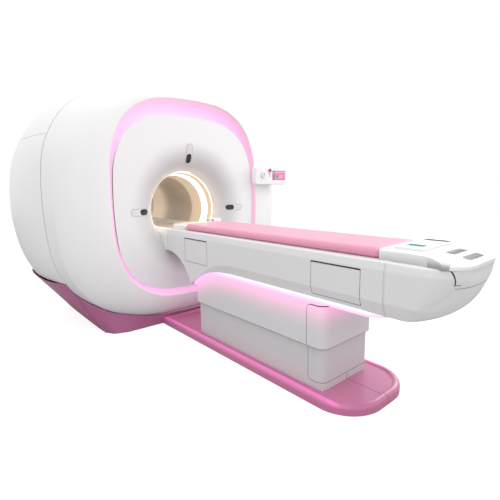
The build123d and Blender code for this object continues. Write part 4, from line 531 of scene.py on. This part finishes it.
# Table fairing: glass-fibre flanks with flush service hatches. A dark gap runs round each
# hatch, widest along its top edge, where a finger lifts it.
HATCH_SPANS_Y = ((-0.2575, 0.0505), (-1.5585, -1.2525))
HATCH_SPAN_Z, HATCH_CORNER, HATCH_GAP_HALF = (0.6172, 0.803), 0.002, 0.0013
FINGER_GAP_Z, FINGER_GAP_HALF, FLANK_X = 0.7995, 0.0042, 0.2


def any_of(tree, masks):
    """Mask that is one where at least one of the masks is one."""
    total = masks[0]
    for mask in masks[1:]:
        total = work(tree, "MAXIMUM", total, mask)
    return total


table_coat, tree, shader, colour = moulded("table_coat", (0.80, 0.80, 0.805), 0.36)
x, y, z = place_of(tree)
gaps = []
for low_y, high_y in HATCH_SPANS_Y:
    gaps.append(boxed(tree, y, z, (low_y, high_y), HATCH_SPAN_Z, HATCH_CORNER, HATCH_GAP_HALF)["Mask"])
    gaps.append(product(tree, near_to(tree, z, FINGER_GAP_Z, FINGER_GAP_HALF),
                        work(tree, "GREATER_THAN", y, low_y), work(tree, "LESS_THAN", y, high_y)))
on_flank = work(tree, "GREATER_THAN", work(tree, "ABSOLUTE", x), FLANK_X)
dark = work(tree, "MULTIPLY", any_of(tree, gaps), on_flank)
tree.links.new(blend_colour(tree, dark, colour, GASKET), shader.inputs["Base Color"])
dress(table_coat, "fairing_left", "fairing_right")
dress(table_coat, "hatch_head_left", "hatch_head_right", "hatch_foot_left", "hatch_foot_right")

# Nose of the table: a full, rounded moulding over the foot end. The apron in its front is a
# separate panel, seen by the dark gap down its slanted sides, a short step and the line under it.
TABLE_TOP, TABLE_BAND, TABLE_BEND, TABLE_UNDER = 0.852, 0.812, 0.660, 0.592
TABLE_HALF, BAND_HALF, UNDER_HALF = 0.2647, 0.2560, 0.2400
NOSE_MID_Y, FAIRING_END_Y, NOSE_REACH = -1.7575, -1.6778, 0.2500
NOSE_CLEARANCE, LEDGE_TUCK, NOSE_BEND = 0.0004, 0.0016, 0.040


def smooth_step(value, low, high):
    """Zero below low, one above high, and a smooth cubic rise between."""
    part = np.clip((value - low) / (high - low), 0.0, 1.0)
    return part * part * (3 - 2 * part)


def nose_levels(z):
    """Half-width, reach and plan power at each height: slanted under the bend, a fuller curve in
    the side view than the frame's nose, and rounder in plan lower down."""
    slanted = UNDER_HALF + (TABLE_HALF - UNDER_HALF) * (z - TABLE_UNDER) / (TABLE_BEND - TABLE_UNDER)
    tilted = TABLE_HALF - np.maximum(0.0, z - TABLE_BAND) * (TABLE_HALF - BAND_HALF) / (TABLE_TOP - TABLE_BAND)
    drop = TABLE_TOP + 0.018 - z
    close = NOSE_REACH * (1 - (drop / 0.290) ** 1.6) ** (1 / 1.6)
    full = NOSE_REACH * (1 - (drop / 0.310) ** 2.05) ** (1 / 2.05)
    share = smooth_step(TABLE_TOP - z, 0.008, 0.060)
    power = 3.8 - 1.2 * smooth_step(TABLE_TOP - z, 0.01, 0.11)
    return np.where(z < TABLE_BEND, slanted, tilted), close + (full - close) * share, power


def nose_skin():
    """Rows go down from under the ledge, columns run round the end: a straight stretch each side,
    then a superellipse in plan; the lower edge is rounded, and the last row closes the bottom."""
    z = np.concatenate([[0.8425, 0.8428], np.linspace(0.842, TABLE_BAND, 5), np.linspace(0.800, TABLE_BEND, 14),
                        np.linspace(0.655, TABLE_UNDER, 16), [TABLE_UNDER]])[:, None]
    half, reach, power = nose_levels(z)
    half = half + NOSE_CLEARANCE
    half[0] -= LEDGE_TUCK
    angle = np.linspace(0.0, np.pi, 97)[None, :]
    cosine, sine = np.cos(angle), np.sin(angle)
    x = -half * np.sign(cosine) * np.abs(cosine) ** (2 / power)
    y = NOSE_MID_Y - reach * np.abs(sine) ** (2 / power)
    straight = np.linspace(FAIRING_END_Y, NOSE_MID_Y, 6)[:-1][None, :]
    left = np.broadcast_to(straight, (len(z), 5))
    x = np.concatenate([np.broadcast_to(-half, left.shape), x, np.broadcast_to(half, left.shape)], axis=1)
    y = np.concatenate([left, y, left[:, ::-1]], axis=1)
    bend = NOSE_BEND * smooth_step(-y, -NOSE_MID_Y, -NOSE_MID_Y + 0.12)
    low = np.clip(bend - (z - TABLE_UNDER), 0.0, None)
    tuck = bend - np.sqrt(np.clip(bend ** 2 - low ** 2, 0.0, None))
    pull = 1 - tuck / (np.hypot(x, y - NOSE_MID_Y) + 1e-9)
    x, y = x * pull, NOSE_MID_Y + (y - NOSE_MID_Y) * pull
    x[-1] = 0.0
    return sheet_mesh("nose_skin", np.stack([x, y, np.broadcast_to(z, x.shape)], axis=-1))


GRIP_HALF, GRIP_Y, GRIP_REACH, GRIP_FLOOR, GRIP_SHADE = 0.14, -1.920, 0.062, 0.845, 0.36


def grip_shade(tree, x, y, z, top):
    """Even mask of painted shade for what is seen down the foot cap's two hand grips, below the given top."""
    painted_shade = product(tree, work(tree, "LESS_THAN", z, top), work(tree, "GREATER_THAN", z, GRIP_FLOOR),
                   work(tree, "LESS_THAN", work(tree, "ABSOLUTE", x), GRIP_HALF),
                   near_to(tree, y, GRIP_Y, GRIP_REACH))
    return work(tree, "MULTIPLY", painted_shade, GRIP_SHADE)


APRON_STEP, APRON_LOW, APRON_HALF, APRON_SLANT = 0.7865, 0.769, 0.200, 0.39
HOOK_OUT, HOOK_REACH, APRON_FRONT_Y = 0.190, 0.0145, NOSE_MID_Y - 0.10
SIDE_GAP_HALF, HOOK_GAP_HALF, LOW_GAP_HALF, SPLIT_GAP_HALF = 0.0026, 0.0016, 0.0013, 0.0010
nose_coat, tree, shader, colour = moulded("nose_coat", (0.80, 0.80, 0.805), 0.34)
x, y, z = place_of(tree)
out = work(tree, "ABSOLUTE", x)
apron_half = work(tree, "MULTIPLY_ADD", z, APRON_SLANT, APRON_HALF - APRON_SLANT * APRON_STEP)
side_gap = product(tree, near_to(tree, out, apron_half, SIDE_GAP_HALF),
                   work(tree, "GREATER_THAN", z, APRON_STEP - 0.001))
hook_gap = product(tree, near_to(tree, z, APRON_STEP, HOOK_GAP_HALF), near_to(tree, out, HOOK_OUT, HOOK_REACH))
low_gap = product(tree, near_to(tree, z, APRON_LOW, LOW_GAP_HALF), work(tree, "LESS_THAN", out, HOOK_OUT))
split = product(tree, near_to(tree, x, 0.0, SPLIT_GAP_HALF), work(tree, "LESS_THAN", z, APRON_LOW))
in_front = work(tree, "LESS_THAN", y, APRON_FRONT_Y)
dark = work(tree, "MULTIPLY", any_of(tree, (side_gap, hook_gap, low_gap, split)), in_front)
# Painted shade, seen down the hand grips, also darkens the nose.
dark = work(tree, "MAXIMUM", dark, grip_shade(tree, x, y, z, 0.9))
tree.links.new(blend_colour(tree, dark, colour, GASKET), shader.inputs["Base Color"])
dress(nose_coat, "nose_shell", "nose_front_panel")
nose_piece = add_piece("nose_skin", nose_skin(), nose_coat, "table")
wall = nose_piece.modifiers.new("wall", "SOLIDIFY")
wall.thickness = 0.0015
wall.offset = -1.0

# Light frame under the table: frosted acrylic with lamps inside it, held under the fairing's
# lower edge. It is white along its upper edge and lilac below.
UNDER_COLOURS = ((1.0, 0.42, 0.90), (1.0, 0.52, 0.96), (1.0, 0.90, 1.0))
UNDER_LILAC_Z = 0.560
under_glow, tree, shader = new_material("under_glow", (0.9, 0.7, 0.88), 0.35)
_, _, z = place_of(tree)
colour = glow_ramp(tree, z, UNDER_LILAC_Z, TABLE_UNDER, UNDER_COLOURS)
tree.links.new(colour, shader.inputs["Emission Color"])
tree.links.new(blend_colour(tree, 0.5, colour, (0.5, 0.5, 0.5)), shader.inputs["Base Color"])
shader.inputs["Emission Strength"].default_value = 0.75
dress(under_glow, "under_light_diffuser")

# Cradle: a stiff composite board with moulded end caps and a deck for coil sockets. Painted shade darkens the foot
# cap's wall where it falls back beside the deck in a scoop, and the insides of the two hand grips that go through its
# top.
SHADOW = (0.20, 0.20, 0.205)
CAP_WALL_X, SCOOP_TOP, SCOOP_START_Y, SCOOP_END_Y = 0.195, 0.898, -1.853, -1.948
SCOOP_SHADE, GRIP_TOP = 0.40, 0.893
cap_coat, tree, shader, colour = moulded("cap_coat", (0.86, 0.86, 0.865), 0.34)
x, y, z = place_of(tree)
# Painted shade: the scoop beside the deck, darker towards the foot and the bottom.
depth = work(tree, "MULTIPLY_ADD", work(tree, "LESS_THAN", y, SCOOP_START_Y), SCOOP_SHADE, SCOOP_SHADE)
scoop = product(tree, work(tree, "GREATER_THAN", work(tree, "ABSOLUTE", x), CAP_WALL_X),
                rise(tree, z, SCOOP_TOP, TABLE_TOP), depth, work(tree, "GREATER_THAN", y, SCOOP_END_Y))
dark = work(tree, "MAXIMUM", scoop, grip_shade(tree, x, y, z, GRIP_TOP))
tree.links.new(blend_colour(tree, dark, colour, SHADOW), shader.inputs["Base Color"])
dress(cap_coat, "foot_end_cap")
deck_coat, tree, shader, colour = moulded("deck_coat", (0.86, 0.86, 0.865), 0.32)
# Painted shade, seen down the hand grips.
dark = grip_shade(tree, *place_of(tree), GRIP_TOP)
tree.links.new(blend_colour(tree, dark, colour, SHADOW), shader.inputs["Base Color"])
dress(deck_coat, "cradle_board", "head_end_cap", "coil_port_deck")

# Coil sockets: each slot in the deck has a thin moulded frame pressed into it, teal at the
# near socket and slate at the far one.
DECK_TOP = 0.917


def socket_frame(name, low, high):
    """L-shaped profile, a flat lip and a sleeve, carried round a rounded box."""
    middle, half = (np.array(low) + np.array(high)) / 2, (np.array(high) - np.array(low)) / 2
    angle = np.linspace(0, 2 * np.pi, 65)[:-1]
    bend, lip_wide, lip_thick, sleeve_wall, sleeve_deep = 0.006, 0.0035, 0.0012, 0.0012, 0.008
    offsets = np.array([lip_wide, lip_wide, -sleeve_wall, -sleeve_wall, -0.0002, -0.0002])[:, None]
    levels = np.array([0.0, lip_thick, lip_thick, -sleeve_deep, -sleeve_deep, 0.0])[:, None] + DECK_TOP
    x = middle[0] + np.sign(np.cos(angle)) * (half[0] - bend) + (bend + offsets) * np.cos(angle)
    y = middle[1] + np.sign(np.sin(angle)) * (half[1] - bend) + (bend + offsets) * np.sin(angle)
    points = np.stack([x, y, np.broadcast_to(levels, x.shape)], axis=-1)
    return sheet_mesh(name, points[::-1], round_u=True, round_v=True)


SOCKETS = (
    ("socket_frame_near", (-0.102, -1.7755), (-0.062, -1.6995), "teal_frame", (0.05, 0.42, 0.40), 0.35),
    ("socket_frame_far", (0.122, -1.7955), (0.154, -1.6795), "slate_frame", (0.10, 0.14, 0.15), 0.4),
)
for name, low, high, plastic_name, paint, gloss in SOCKETS:
    plastic = moulded(plastic_name, paint, gloss)[0]
    add_piece(name, socket_frame(name, low, high), plastic, "cradle")

# Mattress on the cradle: foam in a welded, wipe-clean cover that crowns a little, with a
# weld line along the foot of its sides.
WELD_Z, WELD_HALF = 0.8605, 0.0011
pad_cover, tree, shader, colour = moulded("pad_cover", (0.80, 0.335, 0.475), 0.42, drift=-0.05, peel=0.35)
shader.inputs["Sheen Weight"].default_value = 0.15
_, _, z = place_of(tree)
weld = near_to(tree, z, WELD_Z, WELD_HALF)
tree.links.new(blend_colour(tree, weld, colour, (0.42, 0.14, 0.22)), shader.inputs["Base Color"])
pad_low, pad_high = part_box("mattress")


def foam_block():
    """Rounded slab: a rounded-box section crowned on top, carried along the cradle, its ends drawn
    in along a quarter circle and closed at their centres."""
    half = (pad_high.x - pad_low.x) / 2 - 0.003
    thick = (pad_high.z - pad_low.z) / 2 - 0.002
    start, stop = pad_low.y + 0.003, pad_high.y - 0.003
    bend, crown_rise = 0.020, 0.0035
    turning = np.linspace(0, np.pi / 2, 8)
    first, end_in = start + bend * (1 - np.cos(turning)), bend * (1 - np.sin(turning))
    run = np.linspace(start + bend, stop - bend, 150)[1:-1]
    y = np.concatenate([[start], first, run, (stop - (first - start))[::-1], [stop]])[:, None]
    inset = np.concatenate([[half], end_in, np.zeros(len(run)), end_in[::-1], [half]])[:, None]
    quarter = np.linspace(0, np.pi / 2, 7)
    flat = np.linspace(-1, 1, 41)[1:-1]
    angle = np.concatenate([quarter, np.full(39, np.pi / 2), quarter + np.pi / 2,
                            quarter + np.pi, np.full(39, 1.5 * np.pi), quarter + 1.5 * np.pi])
    side_x = np.concatenate([np.ones(7), -flat, -np.ones(14), flat, np.ones(7)])
    side_z = np.repeat([1.0, -1.0], 53)
    wide, tall = np.maximum(half - inset, 0.0), np.maximum(thick - inset, 0.0)
    r = np.minimum(bend, np.minimum(wide, tall))
    x = side_x * (wide - r) + r * np.cos(angle)
    crown = np.where(side_z > 0, crown_rise * (1 - (x / half) ** 2), 0.0)
    z = side_z * (tall - r) + r * np.sin(angle) + (pad_low.z + pad_high.z) / 2 - 0.0015 + crown * (tall / thick)
    points = np.stack([x, np.broadcast_to(y, x.shape), z], axis=-1)
    return sheet_mesh("mattress_pad", points, round_v=True)


pad = add_piece("mattress_pad", foam_block(), pad_cover, "cradle")
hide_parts("mattress")


def final_mesh(piece):
    """New mesh of a piece as its modifiers leave it."""
    return bpy.data.meshes.new_from_object(piece.evaluated_get(bpy.context.evaluated_depsgraph_get()))


def points_of(mesh):
    """The places of a mesh's vertices, shape (count, 3)."""
    flat = np.empty(len(mesh.vertices) * 3)
    mesh.vertices.foreach_get("co", flat)
    return flat.reshape(-1, 3)


def settle(piece, voxel, cap, low, high):
    """Fills a padded piece: cloth under light pressure, each point held within cap of its start and
    inside the space between low and high."""
    remesh = piece.modifiers.new("even_mesh", "REMESH")
    remesh.mode = "VOXEL"
    remesh.voxel_size = voxel
    bpy.context.view_layer.update()
    even = final_mesh(piece)
    piece.modifiers.clear()
    piece.data = even
    cloth = piece.modifiers.new("filling", "CLOTH")
    cloth.settings.use_pressure = True
    cloth.settings.uniform_pressure_force = 4.0
    cloth.settings.effector_weights.gravity = 0.0
    cloth.settings.quality = 5
    for step in range(1, 21):
        studio.frame_set(step)
    before = points_of(even)
    move = points_of(final_mesh(piece)) - before
    length = np.linalg.norm(move, axis=1, keepdims=True) + 1e-9
    placed = np.clip(before + move * np.minimum(1.0, cap / length), np.array(low), np.array(high))
    piece.modifiers.clear()
    even.vertices.foreach_set("co", placed.ravel())
    even.polygons.foreach_set("use_smooth", np.ones(len(even.polygons), dtype=bool))
    even.materials.clear()
    even.materials.append(pad_cover)
    studio.frame_set(1)


settle(pad, voxel=0.010, cap=0.006, low=pad_low, high=pad_high)
smooth = pad.modifiers.new("smooth", "SUBSURF")
smooth.levels = 1
smooth.render_levels = 1

# Display pod: a moulded housing with a stop button, and a dial whose face carries a small
# star of grip marks in a fine ring.
DIAL_X, DIAL_Z, DIAL_RING_R, DIAL_RING_HALF = 0.790, 1.309, 0.0295, 0.0014
STAR_ARMS, STAR_MID_R, STAR_REACH, STAR_CUT = 6.0, 0.0105, 0.0055, 0.35
pod_coat, tree, shader, colour = moulded("pod_coat", (0.93, 0.93, 0.93), 0.33)
x, _, z = place_of(tree)
dial_x, dial_z = work(tree, "SUBTRACT", x, DIAL_X), work(tree, "SUBTRACT", z, DIAL_Z)
dial_r = length_of(tree, dial_x, dial_z)
wave = work(tree, "COSINE", work(tree, "MULTIPLY", work(tree, "ARCTAN2", dial_z, dial_x), STAR_ARMS))
star = product(tree, near_to(tree, dial_r, STAR_MID_R, STAR_REACH), work(tree, "GREATER_THAN", wave, STAR_CUT))
ring = near_to(tree, dial_r, DIAL_RING_R, DIAL_RING_HALF)
slot_mark = boxed(tree, x, z, (0.8765, 0.8835), (1.293, 1.331), 0.002)["Inside"]
dark = any_of(tree, (star, ring, slot_mark))
tree.links.new(blend_colour(tree, dark, colour, (0.10, 0.10, 0.12)), shader.inputs["Base Color"])
dress(pod_coat, "display_housing", "display_knob")
stop_red, _, shader, _ = moulded("stop_red", (0.60, 0.02, 0.06), 0.25)
shader.inputs["Coat Weight"].default_value = 0.4
dress(stop_red, "emergency_stop")

# Screen: a glass-fronted display set in the pod and lit from behind. It shows a few plain
# fields of colour, each given by its spans along x and z.
SCREEN_FIELDS = (
    ((0.922, 0.944), (1.266, 1.347), (0.20, 0.27, 0.36)),
    ((0.950, 1.094), (1.266, 1.347), (0.82, 0.24, 0.45)),
    ((0.950, 1.094), (1.331, 1.347), (0.93, 0.42, 0.60)),
    ((0.962, 1.004), (1.284, 1.312), (0.10, 0.42, 0.44)),
    ((1.016, 1.080), (1.300, 1.306), (0.95, 0.62, 0.74)),
    ((1.016, 1.064), (1.284, 1.290), (0.95, 0.62, 0.74)),
    ((0.926, 0.940), (1.324, 1.338), (0.75, 0.80, 0.86)),
)
screen_face, tree, shader = new_material("screen_face", (0.02, 0.02, 0.02), 0.12)
x, _, z = place_of(tree)
colour = (0.55, 0.12, 0.28)
for span_x, span_z, field_colour in SCREEN_FIELDS:
    colour = blend_colour(tree, boxed(tree, x, z, span_x, span_z, 0.003)["Inside"], colour, field_colour)
tree.links.new(colour, shader.inputs["Emission Color"])
shader.inputs["Emission Strength"].default_value = 0.75
tree.links.new(blend_colour(tree, 0.75, colour, (0.02, 0.02, 0.02)), shader.inputs["Base Color"])
dress(screen_face, "display_screen")
